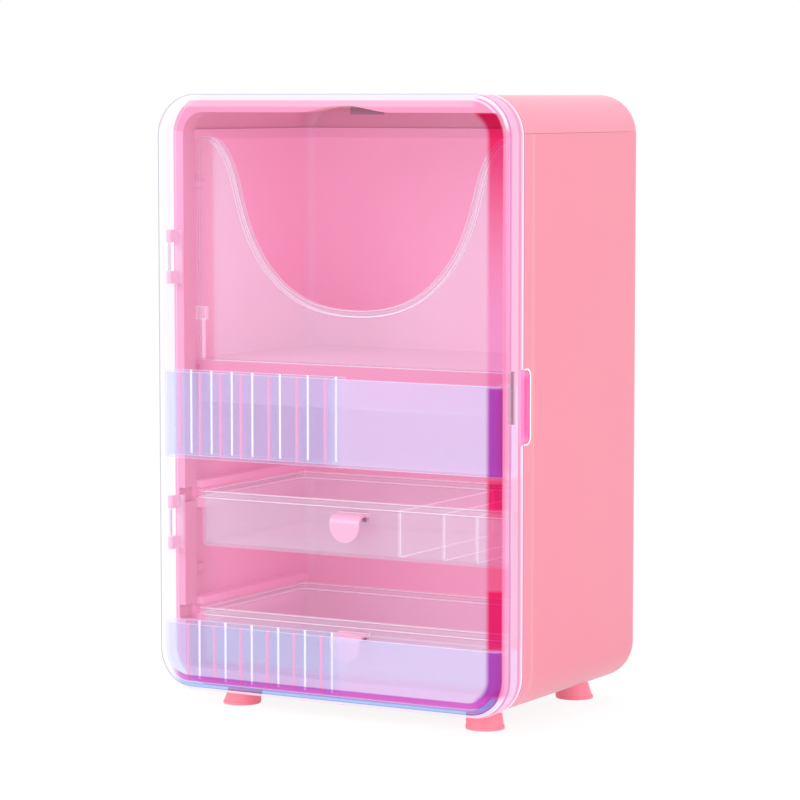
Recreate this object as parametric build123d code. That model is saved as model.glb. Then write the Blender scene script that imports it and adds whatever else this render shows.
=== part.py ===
from build123d import *
import math
import os

# A table-top cosmetic case. A pink moulded cabinet stands on four splayed feet. A clear tub-shaped
# door with two lilac bins is hinged on its left, a lid flips up about its rear top edge, and two
# clear drawers slide on runners below a shelf that carries a clear panel with a deep U scoop.
# Millimetres, +Z up, the front faces -Y. The origin is the centre of the footprint, on the ground.
# While the pieces are made, Y = 0 is the front plane of the cabinet. main() centres them in Y.

# Cabinet
body_width = 248.0
body_height = 372.0
body_depth = 160.0
body_wall = 3.0
body_corner_radius = 25.0
body_rear_radius = 9.0
inner_rear_radius = 7.0
frame_depth = 13.0
frame_stile = 7.2
frame_rail = 10.6
frame_inner_radius = 14.0
frame_lower_radius = 3.0
seam_chamfer = 0.6
seam_gap = 0.2

# Feet
foot_height = 13.4
foot_radius = 12.0
foot_top_radius = 10.9
foot_rim_height = 1.8
foot_rim_proud = 0.4
foot_splay = 15.0
foot_from_side = 36.0
foot_from_front = 20.7
foot_from_back = 18.0

# Lid
lid_height = 23.0
lid_wall = 2.4
notch_half_width = 33.5
notch_rise = 4.3
lid_block_width = 19.0
lid_block_depth = 10.0
lid_block_height = 9.6
lid_block_front = 24.0
lid_block_radius = 1.0
lid_hinge_x = 60.0
lid_knuckle_radius = 2.4
lid_knuckle_stand_off = 0.2
lid_pin_radius = 1.2
lid_barrel_length = 16.0
lid_knuckle_length = 6.0
lid_leaf_height = 14.0
lid_leaf_thickness = 1.6

# Door
door_overhang = 1.0
door_depth = 23.4
door_wall = 3.0
door_corner_radius = 26.0
door_edge_radius = 11.0
door_rim_gap = 0.4
hinge_radius = 2.0
hinge_behind_rim = 6.6
hinge_pin_radius = 0.8
hinge_pin_clearance = 0.05
hinge_ear_height = 7.8
hinge_barrel_height = 17.4
hinge_gap = 0.4
hinge_sweep_radius = 4.6
hinge_upper_drop = 101.1
hinge_lower_rise = 103.0
hinge_base_depth = 2.4
hinge_base_width = 5.0
hinge_base_inset = 0.8

# Latch
tab_height = 46.0
tab_above_middle = 0.8
tab_reach = 8.7
tab_thickness = 2.2
tab_corner_radius = 5.0
recess_gap = 0.4
finger_depth = 4.8
finger_height = 34.0
finger_front = 3.4
finger_corner_radius = 2.0
latch_plate_height = 32.0
latch_plate_width = 4.0
latch_plate_thickness = 1.0
latch_plate_behind_rim = 11.6
latch_plate_drop = 0.5
latch_magnet_depth = 2.6
latch_magnet_width = 3.4

# Door bins
bin_gap = 0.3
bin_front_gap = 0.2
bin_wall = 1.6
bin_depth = 17.1
bin_divider_thickness = 1.4
bin_divider_gap = 0.1
upper_bin_rise = 147.2
upper_bin_height = 54.0
narrow_cells = 4
narrow_pitch = 15.1
wide_cells = 3
wide_pitch = 20.2
upper_first_cell = 13.8
dip_depth = 18.6
dip_after_divider = 5.3
dip_right_inset = 11.0
dip_left_slope = 13.0
dip_right_slope = 8.0
lower_bin_height = 39.3
lower_divider_count = 6
lower_divider_pitch = 19.5
lower_first_cell = 19.0
bin_ledge_width = 4.2
bin_ledge_height = 2.0
bin_ledge_inset = 2.0

# Shelf and scoop panel
shelf_rise = 205.1
shelf_thickness = 3.0
shelf_gap = 0.3
shelf_apron_height = 23.5
shelf_apron_thickness = 2.5
shelf_apron_inset = 7.0
shelf_ledge_width = 3.0
shelf_ledge_height = 3.0
panel_side_gap = 6.0
panel_top_gap = 2.9
panel_thickness = 2.5
panel_gap = 0.2
scoop_floor_height = 34.5
scoop_top_inset = 9.0
scoop_neck_inset = 21.0
scoop_neck_share = 0.08
scoop_waist_inset = 32.0
scoop_waist_share = 0.352
scoop_turn_inset = 48.5
scoop_turn_share = 0.709
scoop_floor_inset = 77.0
scoop_floor_share = 0.934
bead_width = 3.7
bead_proud = 1.0
clip_height = 8.0
clip_rise = 25.5
clip_thickness = 3.0
clip_overlap = 4.0
clip_leg_width = 1.6
clip_leg_inset = 1.2

# Drawers and runners
drawer_side_room = 8.0
drawer_front_y = 11.0
drawer_rear_room = 20.0
drawer_height = 35.2
drawer_wall = 2.2
drawer_floor = 2.0
drawer_corner_radius = 5.0
drawer_edge_radius = 1.5
drawer_spacing = 74.8
lower_drawer_rise = 11.9
flange_height = 4.2
flange_side = 2.6
flange_front = 1.0
flange_rear = 1.8
divider_thickness = 1.5
divider_gap = 0.15
divider_height = 29.0
divider_first_inset = 81.0
divider_second_inset = 50.0
divider_third_inset = 27.0
runner_plate = 1.2
runner_stop_length = 3.0
runner_rest_gap = 0.25
runner_side_gap = 0.8
runner_lower_height = 6.7
runner_upper_height = 4.5
runner_upper_gap = 1.8
runner_over_rim = 1.0
runner_stop_gap = 0.2
flange_notch_height = 9.2
flange_notch_depth = 4.4

# Pulls
pull_width = 21.0
pull_thickness = 1.6
pull_slot_gap = 0.2
pull_drop_from_top = 8.3
pull_bend_radius = 5.6
pull_reach = 10.1
pull_length = 16.4
pull_hook_height = 7.0
pull_hook_below = 4.4
pull_screw_x = 8.4
pull_screw_drop = 2.6
pull_screw_radius = 0.8
pull_screw_head_radius = 1.5
pull_screw_head_height = 0.9

# Screws
screw_radius = 1.2
screw_hole_gap = 0.1
screw_head_radius = 2.3
screw_head_height = 1.6
screw_reach = 9.0
boss_radius = 3.0
boss_length = 10.0
boss_from_side = 5.6
boss_below_parting = 32.4
boss_rise = 71.6

# Heights, planes and half widths that follow from the sizes above
body_bottom = foot_height
body_top = body_bottom + body_height
parting_z = body_top - lid_height
body_half = body_width / 2
inner_half = body_half - body_wall
stile_inner = body_half - frame_stile
boss_half_spread = body_half - boss_from_side
boss_upper_z = parting_z - boss_below_parting
boss_lower_z = body_bottom + boss_rise
door_width = body_width + 2 * door_overhang
door_half = door_width / 2
door_inner_half = door_half - door_wall
door_bottom = body_bottom - door_overhang
door_top = body_top + door_overhang
door_rear = -door_rim_gap
door_front = door_rear - door_depth
hinge_x = -(door_half - hinge_radius)
hinge_y = door_rear - hinge_behind_rim
lid_axis_y = body_depth + lid_knuckle_radius + lid_knuckle_stand_off
rear_most = lid_axis_y + lid_knuckle_radius
centre_y = (door_front + rear_most) / 2
hinge_upper_z = body_top - hinge_upper_drop
hinge_lower_z = body_bottom + hinge_lower_rise
tab_centre_z = body_bottom + body_height / 2 + tab_above_middle
latch_top = tab_centre_z + tab_height / 2 - latch_plate_drop
latch_z = (latch_top - latch_plate_height, latch_top)
bin_front = door_front + door_wall + bin_front_gap
bin_rear = bin_front + bin_depth
upper_bin_bottom = door_bottom + upper_bin_rise
dip_right_x = door_inner_half - dip_right_inset
shelf_top = body_bottom + shelf_rise
panel_front = frame_depth + panel_gap
panel_half_width = inner_half - panel_side_gap
panel_height = parting_z - panel_top_gap - shelf_top
scoop_depth = panel_height - scoop_floor_height
clip_inner_x = panel_half_width - clip_overlap
clip_bottom = shelf_top + clip_rise
drawer_half_width = inner_half - drawer_side_room
drawer_depth = body_depth - body_wall - drawer_rear_room - drawer_front_y
lower_drawer_bottom = body_bottom + lower_drawer_rise
upper_drawer_bottom = lower_drawer_bottom + drawer_spacing
runner_wall_x = inner_half - runner_plate
runner_stop_y = drawer_front_y + drawer_depth + flange_rear + runner_stop_gap
hinge_zone = 2 * (hinge_ear_height + hinge_gap) + hinge_barrel_height
through = 1.0


def block(x, y, z):
    """A box between two values on each axis."""
    size = (x[1] - x[0], y[1] - y[0], z[1] - z[0])
    return Pos(x[0], y[0], z[0]) * Box(*size, align=(Align.MIN, Align.MIN, Align.MIN))


def slab(width, z, y, radius):
    """A rounded rectangle that faces the front, between two heights, drawn out along Y."""
    face = Plane(origin=(0, y[1], (z[0] + z[1]) / 2), x_dir=(1, 0, 0), z_dir=(0, -1, 0))
    return extrude(face * RectangleRounded(width, z[1] - z[0], radius), amount=y[1] - y[0])


def tub(width, z, y, corner, edge, sign=1):
    """A slab with its rear edges rounded, or its front edges where sign is -1."""
    solid = slab(width, z, y, corner)
    end = solid.faces().sort_by(Axis.Y)[-1 if sign > 0 else 0]
    return fillet(end.edges(), edge)


def rod_x(x, y, z, radius):
    """A round bar along X between two values of x."""
    return Pos((x[0] + x[1]) / 2, y, z) * Rot(0, 90, 0) * Cylinder(radius, x[1] - x[0])


def rod_y(x, y, z, radius):
    """A round bar along Y between two values of y."""
    return Pos(x, (y[0] + y[1]) / 2, z) * Rot(90, 0, 0) * Cylinder(radius, y[1] - y[0])


def rod_z(x, y, z, radius):
    """A round bar along Z between two values of z."""
    return Pos(x, y, (z[0] + z[1]) / 2) * Cylinder(radius, z[1] - z[0])


def mirrored(solid):
    """The same piece for the other side of the case."""
    return mirror(solid, about=Plane.YZ)


def body_slab(y):
    """The full outline of the cabinet seen from the front, drawn out along Y."""
    return slab(body_width, (body_bottom, body_top), y, body_corner_radius)


def opening_slab(y):
    """The front opening of the cabinet, drawn out along Y."""
    bottom = body_bottom + frame_rail
    middle = body_bottom + body_height / 2
    opening = slab(2 * stile_inner, (bottom, body_top - frame_rail), y, frame_inner_radius)
    return opening + slab(2 * stile_inner, (bottom, middle), y, frame_lower_radius)


def above(z):
    """Everything of the cabinet and lid above a height."""
    return block((-body_width, body_width), (-body_depth, 2 * body_depth), (z, body_top + body_height))


def below(z):
    """Everything of the cabinet and lid below a height."""
    return block((-body_width, body_width), (-body_depth, 2 * body_depth), (-body_height, z))


def foot_places():
    """The four places of the feet's lower ends, as a side, an end and the point."""
    places = []
    for end, y in ((-1, foot_from_front), (1, body_depth - foot_from_back)):
        for side in (-1, 1):
            places.append((side, end, side * (body_half - foot_from_side), y))
    return places


def foot_lean():
    """How far a foot's upper end lies inward of its lower end, along X and along Y."""
    return foot_height * math.tan(math.radians(foot_splay)) / math.sqrt(2)


def make_main_shell():
    outer = tub(body_width, (body_bottom, body_top), (frame_depth, body_depth),
                body_corner_radius, body_rear_radius)
    outer = chamfer(outer.faces().sort_by(Axis.Y)[0].edges(), seam_chamfer)
    cavity = tub(2 * inner_half, (body_bottom + body_wall, body_top - body_wall),
                 (frame_depth - through, body_depth - body_wall),
                 body_corner_radius - body_wall, inner_rear_radius)
    shell = outer - cavity - above(parting_z)
    ledge_z = (shelf_top - shelf_thickness - shelf_ledge_height, shelf_top - shelf_thickness)
    ledge_y = (frame_depth + boss_length, body_depth - body_wall - inner_rear_radius)
    for side in (-1, 1):
        ledge = block((inner_half - shelf_ledge_width, inner_half + through), ledge_y, ledge_z)
        shell += ledge if side > 0 else mirrored(ledge)
        for z in (boss_lower_z, boss_upper_z):
            x = side * boss_half_spread
            boss = rod_y(x, (frame_depth, frame_depth + boss_length), z, boss_radius)
            shell += boss & body_slab((frame_depth, body_depth))
            shell -= rod_y(x, (0, body_depth / 2), z, screw_radius + screw_hole_gap)
    lean = foot_lean()
    for side, end, x, y in foot_places():
        hole = rod_z(x - side * lean, y - end * lean, (0, body_bottom + 2 * body_wall),
                     screw_radius + screw_hole_gap)
        shell -= hole
    return shell


def make_front_frame():
    outer = body_slab((0, frame_depth))
    outer = chamfer(outer.faces().sort_by(Axis.Y)[-1].edges(), seam_chamfer)
    frame = outer - opening_slab((-through, frame_depth + through)) - above(parting_z)
    notch_x = (stile_inner - through, stile_inner + flange_notch_depth)
    for bottom in (lower_drawer_bottom, upper_drawer_bottom):
        middle = bottom + drawer_height - flange_height / 2
        notch_z = (middle - flange_notch_height / 2, middle + flange_notch_height / 2)
        notch = block(notch_x, (-through, frame_depth + through), notch_z)
        frame -= notch
        frame -= mirrored(notch)
    for x in (-boss_half_spread, boss_half_spread):
        for z in (boss_lower_z, boss_upper_z):
            pilot_y = (frame_depth - screw_reach, frame_depth + through)
            frame -= rod_y(x, pilot_y, z, screw_radius + screw_hole_gap)
    for z in (hinge_lower_z, hinge_upper_z):
        frame -= hinge_base(z)
    frame -= latch_recess()
    frame -= make_latch_magnet()
    return frame


def latch_recess():
    """The pocket for the door's tab, with a deeper place for a fingertip under it."""
    half = tab_height / 2 + recess_gap
    floor = door_half - tab_thickness - recess_gap
    pocket = block((floor, door_half + through), (-through, tab_reach + recess_gap),
                   (tab_centre_z - half, tab_centre_z + half))
    rear = pocket.edges().filter_by(Axis.X).group_by(Axis.Y)[-1]
    pocket = fillet(rear, tab_corner_radius + recess_gap)
    deep = block((floor + recess_gap - finger_depth, door_half), (finger_front, tab_reach + recess_gap),
                 (tab_centre_z - finger_height / 2, tab_centre_z + finger_height / 2))
    deep = fillet(deep.edges().filter_by(Axis.X), finger_corner_radius)
    return pocket + deep


def make_latch_magnet():
    right = door_half - tab_thickness - recess_gap - seam_gap
    return block((right - latch_magnet_width, right), (0, latch_magnet_depth), latch_z)


def make_frame_screws():
    screws = []
    head_y = frame_depth + boss_length
    for x in (-boss_half_spread, boss_half_spread):
        for z in (boss_lower_z, boss_upper_z):
            shank = rod_y(x, (frame_depth - screw_reach, head_y), z, screw_radius)
            head = rod_y(x, (head_y, head_y + screw_head_height), z, screw_head_radius)
            screws.append(shank + head)
    return Compound(screws)


def make_foot(side, end, x, y):
    lean = foot_lean()
    rim_share = foot_rim_height / foot_height
    rim_x = x - side * lean * rim_share
    rim_y = y - end * lean * rim_share
    low = Plane.XY * Pos(x, y, 0) * Circle(foot_radius)
    middle = Pos(rim_x, rim_y, foot_rim_height) * Circle(foot_radius)
    rim = loft([low, middle])
    neck = Pos(rim_x, rim_y, foot_rim_height) * Circle(foot_radius - foot_rim_proud)
    high = Pos(x - side * lean, y - end * lean, foot_height) * Circle(foot_top_radius)
    foot = rim + loft([neck, high])
    pilot = rod_z(x - side * lean, y - end * lean, (foot_height - screw_reach, foot_height + through),
                  screw_radius + screw_hole_gap)
    return foot - pilot


def make_foot_screws():
    screws = []
    lean = foot_lean()
    floor = body_bottom + body_wall
    for side, end, x, y in foot_places():
        top_x = x - side * lean
        top_y = y - end * lean
        shank = rod_z(top_x, top_y, (foot_height - screw_reach, floor), screw_radius)
        head = rod_z(top_x, top_y, (floor, floor + screw_head_height), screw_head_radius)
        screws.append(shank + head)
    return Compound(screws)


def make_lid_cap():
    outer = tub(body_width, (body_bottom, body_top), (0, body_depth), body_corner_radius,
                body_rear_radius)
    cavity = tub(body_width - 2 * lid_wall, (body_bottom + lid_wall, body_top - lid_wall),
                 (frame_depth, body_depth - lid_wall), body_corner_radius - lid_wall,
                 inner_rear_radius)
    cap = outer - cavity - opening_slab((-through, frame_depth + through))
    cap -= below(parting_z + seam_gap)
    rail_z = body_top - frame_rail
    arch = Spline((-notch_half_width, rail_z), (0, rail_z + notch_rise), (notch_half_width, rail_z),
                  tangents=[(1, 0), (1, 0)], tangent_scalars=[1, 1])
    closing = Polyline((notch_half_width, rail_z), (notch_half_width, rail_z - through),
                       (-notch_half_width, rail_z - through), (-notch_half_width, rail_z))
    notch = Plane.XZ * make_face(Curve() + [arch, closing])
    cap -= Pos(0, frame_depth + through, 0) * extrude(notch, amount=frame_depth + 2 * through)
    for x in (-lid_hinge_x, lid_hinge_x):
        span = (x - lid_barrel_length / 2, x + lid_barrel_length / 2)
        web_z = (parting_z + seam_gap, parting_z + lid_knuckle_radius)
        cap += block(span, (body_depth - lid_wall, lid_axis_y), web_z)
        cap += rod_x(span, lid_axis_y, parting_z, lid_knuckle_radius)
        cap -= rod_x((span[0] - through, span[1] + through), lid_axis_y, parting_z,
                     lid_pin_radius + hinge_pin_clearance)
    return cap


def make_lid_catch_block():
    ceiling = body_top - lid_wall
    solid = block((-lid_block_width / 2, lid_block_width / 2),
                  (lid_block_front, lid_block_front + lid_block_depth),
                  (ceiling - lid_block_height, ceiling))
    return fillet(solid.edges().filter_by(Axis.Z), lid_block_radius)


def lid_knuckle_spans(x):
    """The two stretches along X that the cabinet's knuckles take beside one barrel."""
    near = lid_barrel_length / 2 + hinge_gap
    far = near + lid_knuckle_length
    return (x - far, x - near), (x + near, x + far)


def make_lid_hinge_leaf(x):
    spans = lid_knuckle_spans(x)
    leaf = block((spans[0][0], spans[1][1]), (body_depth, body_depth + lid_leaf_thickness),
                 (parting_z - lid_leaf_height, parting_z))
    relief = (spans[0][1], spans[1][0])
    leaf -= rod_x(relief, lid_axis_y, parting_z, lid_knuckle_radius + 2 * hinge_gap)
    for span in spans:
        leaf += rod_x(span, lid_axis_y, parting_z, lid_knuckle_radius)
        leaf += block(span, (body_depth, lid_axis_y), (parting_z - lid_knuckle_radius, parting_z))
        leaf -= rod_x(span, lid_axis_y, parting_z, lid_pin_radius)
    return leaf


def make_lid_hinge_pins():
    pins = []
    for x in (-lid_hinge_x, lid_hinge_x):
        spans = lid_knuckle_spans(x)
        pins.append(rod_x((spans[0][0], spans[1][1]), lid_axis_y, parting_z, lid_pin_radius))
    return Compound(pins)


def hinge_base(z):
    """The plate of a door hinge bracket, let into the front of the left stile."""
    outer_x = -body_half + hinge_base_inset
    return block((outer_x, outer_x + hinge_base_width), (0, hinge_base_depth),
                 (z - hinge_zone / 2, z + hinge_zone / 2))


def make_hinge_bracket(z):
    bracket = hinge_base(z)
    for side in (-1, 1):
        far = z + side * hinge_zone / 2
        near = far - side * hinge_ear_height
        ear_z = (min(far, near), max(far, near))
        bracket += rod_z(hinge_x, hinge_y, ear_z, hinge_radius)
        bracket += block((hinge_x - hinge_radius, hinge_x + hinge_radius), (hinge_y, 0), ear_z)
        bracket += block((hinge_x - hinge_radius + hinge_base_inset + through, hinge_x + hinge_radius),
                         (-through, hinge_base_depth), ear_z)
        bracket -= rod_z(hinge_x, hinge_y, ear_z, hinge_pin_radius)
    return bracket


def make_hinge_pin(z):
    return rod_z(hinge_x, hinge_y, (z - hinge_zone / 2, z + hinge_zone / 2), hinge_pin_radius)


def make_door_shell():
    door = tub(door_width, (door_bottom, door_top), (door_front, door_rear), door_corner_radius,
               door_edge_radius, sign=-1)
    door -= door_inside(0, 0, door_rear + through)
    barrel_half = hinge_barrel_height / 2
    for z in (hinge_lower_z, hinge_upper_z):
        gap_z = (z - hinge_zone / 2 - hinge_gap, z + hinge_zone / 2 + hinge_gap)
        door -= block((-door_half - through, -door_inner_half + through),
                      (hinge_y - hinge_sweep_radius, through), gap_z)
        barrel_z = (z - barrel_half, z + barrel_half)
        door += block((-door_half, -door_inner_half), (hinge_y - hinge_sweep_radius - through, hinge_y),
                      barrel_z)
        door += rod_z(hinge_x, hinge_y, barrel_z, hinge_radius)
        door -= rod_z(hinge_x, hinge_y, barrel_z, hinge_pin_radius + hinge_pin_clearance)
    tab = block((door_half - tab_thickness, door_half), (door_rear - through, tab_reach),
                (tab_centre_z - tab_height / 2, tab_centre_z + tab_height / 2))
    tab = fillet(tab.edges().filter_by(Axis.X).group_by(Axis.Y)[-1], tab_corner_radius)
    door += tab
    ledge = block((door_inner_half - bin_ledge_width, door_inner_half + through),
                  (bin_front + door_edge_radius, bin_rear - bin_ledge_inset),
                  (upper_bin_bottom - bin_ledge_height, upper_bin_bottom))
    door += ledge
    door += mirrored(ledge)
    return door - make_latch_plate()


def door_inside(gap, front_gap, rear):
    """The hollow of the door, drawn in by a gap, up to a plane in Y."""
    edge = door_edge_radius - door_wall - gap
    corner = door_corner_radius - door_wall - gap
    z = (door_bottom + door_wall + gap, door_top - door_wall - gap)
    front = door_front + door_wall + front_gap
    return tub(2 * (door_inner_half - gap), z, (front, rear), corner, edge, sign=-1)


def make_latch_plate():
    front = door_rear - latch_plate_behind_rim
    y = (front, front + latch_plate_width)
    return block((door_inner_half, door_inner_half + latch_plate_thickness), y, latch_z)


def bin_inside():
    """The hollow of a door bin, over the whole height of the door."""
    gap = bin_gap + bin_wall
    return door_inside(gap, bin_front_gap + bin_wall, bin_rear - bin_wall)


def make_upper_bin():
    top = upper_bin_bottom + upper_bin_height
    dip_left_x = upper_divider_places()[-1] + dip_after_divider
    outer = door_inside(bin_gap, bin_front_gap, bin_rear) - below(upper_bin_bottom) - above(top)
    tray = outer - (bin_inside() - below(upper_bin_bottom + bin_wall))
    dip = Plane.XZ * Polygon((dip_left_x, top + through), (dip_left_x, top),
                             (dip_left_x + dip_left_slope, top - dip_depth),
                             (dip_right_x - dip_right_slope, top - dip_depth),
                             (dip_right_x, top), (dip_right_x, top + through), align=None)
    cut = Pos(0, bin_rear + through, 0) * extrude(dip, amount=bin_wall + 2 * through)
    return tray - cut


def make_lower_bin():
    top = door_bottom + door_wall + bin_gap + lower_bin_height
    tray = door_inside(bin_gap, bin_front_gap, bin_rear) - above(top)
    return tray - bin_inside()


def bin_dividers(places, z):
    """Thin upright plates across a bin, cut to its hollow, at a list of X places."""
    gap = bin_gap + bin_wall + bin_divider_gap
    room = door_inside(gap, bin_front_gap + bin_wall + bin_divider_gap,
                       bin_rear - bin_wall - bin_divider_gap)
    plates = []
    for x in places:
        span = (x - bin_divider_thickness / 2, x + bin_divider_thickness / 2)
        plates.append(room & block(span, (bin_front, bin_rear), z))
    return Compound([plate.solid() for plate in plates])


def upper_divider_places():
    first = upper_first_cell - door_inner_half
    places = [first + narrow_pitch * i for i in range(narrow_cells)]
    places += [places[-1] + wide_pitch * (i + 1) for i in range(wide_cells)]
    return places


def make_upper_bin_dividers():
    floor = upper_bin_bottom + bin_wall
    return bin_dividers(upper_divider_places(), (floor, upper_bin_bottom + upper_bin_height))


def lower_divider_places():
    first = lower_first_cell - door_inner_half
    return [first + lower_divider_pitch * i for i in range(lower_divider_count)]


def make_lower_bin_dividers():
    bottom = door_bottom + door_wall + bin_gap
    return bin_dividers(lower_divider_places(), (bottom, bottom + lower_bin_height))


def make_shelf():
    half = inner_half - shelf_gap
    rear = body_depth - body_wall - shelf_gap
    plate = block((-half, half), (panel_front, rear), (shelf_top - shelf_thickness, shelf_top))
    plate = fillet(plate.edges().filter_by(Axis.Z).group_by(Axis.Y)[-1], inner_rear_radius)
    apron_half = inner_half - shelf_apron_inset
    apron = block((-apron_half, apron_half),
                  (panel_front, panel_front + shelf_apron_thickness),
                  (shelf_top - shelf_thickness - shelf_apron_height, shelf_top - shelf_thickness))
    return plate + apron


def scoop_face(growth):
    """The U-shaped scoop, from above the panel's top edge down to its floor, grown outward."""
    top = shelf_top + panel_height
    steps = [(scoop_top_inset, 0), (scoop_neck_inset, scoop_neck_share),
             (scoop_waist_inset, scoop_waist_share), (scoop_turn_inset, scoop_turn_share),
             (scoop_floor_inset, scoop_floor_share)]
    right = [Vector(panel_half_width - inset, top - share * scoop_depth) for inset, share in steps]
    points = right + [Vector(0, top - scoop_depth)] + [Vector(-p.X, p.Y) for p in reversed(right)]
    level = Vector(-1, 0)
    ways = [level] + [b - a for a, b in zip(points, points[2:])] + [level]
    edge = [p + way.normalized().rotate(Axis.Z, 90) * growth for p, way in zip(points, ways)]
    curve = Spline(*edge, tangents=[level, level], tangent_scalars=[1, 1])
    high = top + through
    mouth = panel_half_width - scoop_top_inset
    closing = Polyline(edge[-1], (-mouth, high), (mouth, high), edge[0])
    return make_face(Curve() + [curve, closing])


def scoop_prism(growth, y):
    """The scoop drawn out between two values of y."""
    prism = extrude(Plane.XZ * scoop_face(growth), amount=y[1] - y[0])
    return Pos(0, y[1], 0) * prism


def make_scoop_panel():
    x = (-panel_half_width, panel_half_width)
    z = (shelf_top, shelf_top + panel_height)
    sheet_y = (panel_front, panel_front + panel_thickness)
    bead_y = (sheet_y[0] - bead_proud, sheet_y[1] + bead_proud)
    sheet = block(x, sheet_y, z) - scoop_prism(0, (0, 2 * panel_front))
    bead = scoop_prism(bead_width, bead_y) - scoop_prism(0, (0, 2 * panel_front))
    return sheet + (bead & block(x, bead_y, z))


def make_panel_clip():
    front = panel_front + panel_thickness + panel_gap
    lug = block((clip_inner_x, inner_half), (front, front + clip_thickness),
                (clip_bottom, clip_bottom + clip_height))
    leg_x = clip_inner_x + clip_leg_inset
    leg = block((leg_x, leg_x + clip_leg_width), (front, front + clip_thickness - clip_leg_inset),
                (shelf_top, clip_bottom))
    return lug + leg


def make_runner(drawer_bottom):
    top = drawer_bottom + drawer_height
    flange_z = (top - flange_height, top)
    rear = runner_stop_y + runner_stop_length
    y = (frame_depth + panel_gap, rear)
    low = (flange_z[0] - runner_rest_gap - runner_lower_height, flange_z[0] - runner_rest_gap)
    high = (top + runner_upper_gap, top + runner_upper_gap + runner_upper_height)
    runner = block((runner_wall_x, inner_half), y, (low[0], high[1]))
    runner += block((drawer_half_width + runner_side_gap, runner_wall_x), y, low)
    runner += block((drawer_half_width - runner_over_rim, runner_wall_x), y, high)
    runner += block((drawer_half_width, runner_wall_x), (runner_stop_y, rear), (low[1], high[0]))
    return runner


def tray_block(gap, z, edge):
    """A drawer-shaped block, drawn in by a gap, with rounded upright and lower edges."""
    half = drawer_half_width - gap
    y = (drawer_front_y + gap, drawer_front_y + drawer_depth - gap)
    solid = block((-half, half), y, z)
    solid = fillet(solid.edges().filter_by(Axis.Z), drawer_corner_radius - gap)
    return fillet(solid.faces().sort_by(Axis.Z)[0].edges(), edge)


def pull_slot_z(bottom):
    """The height of a pull's stem, where it goes through the drawer front."""
    return bottom + drawer_height - pull_drop_from_top


def make_drawer_tray(bottom):
    top = bottom + drawer_height
    half = drawer_half_width + flange_side
    rear = drawer_front_y + drawer_depth + flange_rear
    tray = tray_block(0, (bottom, top), drawer_edge_radius)
    flange = block((-half, half), (drawer_front_y - flange_front, rear), (top - flange_height, top))
    tray += fillet(flange.edges().filter_by(Axis.Z), drawer_corner_radius + flange_front)
    tray -= tray_block(drawer_wall, (bottom + drawer_floor, top + through), drawer_edge_radius)
    slot_z = pull_slot_z(bottom)
    slot_half = pull_thickness / 2 + pull_slot_gap
    front_y = (drawer_front_y - through, drawer_front_y + drawer_wall + through)
    slot_x = pull_width / 2 + pull_slot_gap
    tray -= block((-slot_x, slot_x), front_y, (slot_z - slot_half, slot_z + slot_half))
    tray -= rod_y(pull_screw_x, front_y, slot_z - pull_screw_drop, pull_screw_radius + screw_hole_gap)
    return tray


def make_pull(bottom):
    z = pull_slot_z(bottom)
    half = pull_width / 2
    inside = drawer_front_y + drawer_wall
    bend_y = drawer_front_y - pull_reach + pull_bend_radius
    bend_z = z - pull_bend_radius
    outer_radius = pull_bend_radius + pull_thickness / 2
    inner_radius = pull_bend_radius - pull_thickness / 2
    bend = rod_x((-half, half), bend_y, bend_z, outer_radius)
    bend -= rod_x((-half, half), bend_y, bend_z, inner_radius)
    bend &= block((-half, half), (bend_y - outer_radius, bend_y), (bend_z, bend_z + outer_radius))
    stem = block((-half, half), (bend_y, inside + pull_thickness),
                 (z - pull_thickness / 2, z + pull_thickness / 2))
    tip_z = z - pull_length
    tongue = block((-half, half), (bend_y - outer_radius, bend_y - inner_radius), (tip_z, bend_z))
    front = bend + stem + tongue
    shape = Pos(0, tip_z + half) * Circle(half) + Pos(0, z + half) * Rectangle(pull_width, 2 * pull_length)
    front &= Pos(0, inside + 2 * through, 0) * extrude(Plane.XZ * shape, amount=2 * inside)
    hook_z = (z - pull_hook_below, z - pull_hook_below + pull_hook_height)
    pull = front + block((-half, half), (inside, inside + pull_thickness), hook_z)
    hole_y = (inside - through, inside + pull_thickness + through)
    return pull - rod_y(pull_screw_x, hole_y, z - pull_screw_drop, pull_screw_radius)


def make_pull_screw(bottom):
    z = pull_slot_z(bottom) - pull_screw_drop
    inside = drawer_front_y + drawer_wall + pull_thickness
    shank = rod_y(pull_screw_x, (drawer_front_y, inside), z, pull_screw_radius)
    head_y = (drawer_front_y - pull_screw_head_height, drawer_front_y)
    return shank + rod_y(pull_screw_x, head_y, z, pull_screw_head_radius)


def make_drawer_dividers(bottom):
    floor = bottom + drawer_floor
    z = (floor, floor + divider_height)
    room = tray_block(drawer_wall + divider_gap, z, drawer_edge_radius)
    y = (drawer_front_y, drawer_front_y + drawer_depth)
    plates = []
    for inset in (divider_first_inset, divider_second_inset, divider_third_inset):
        x = drawer_half_width - inset
        span = (x - divider_thickness / 2, x + divider_thickness / 2)
        plates.append(room & block(span, y, z))
    return Compound([plate.solid() for plate in plates])


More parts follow.
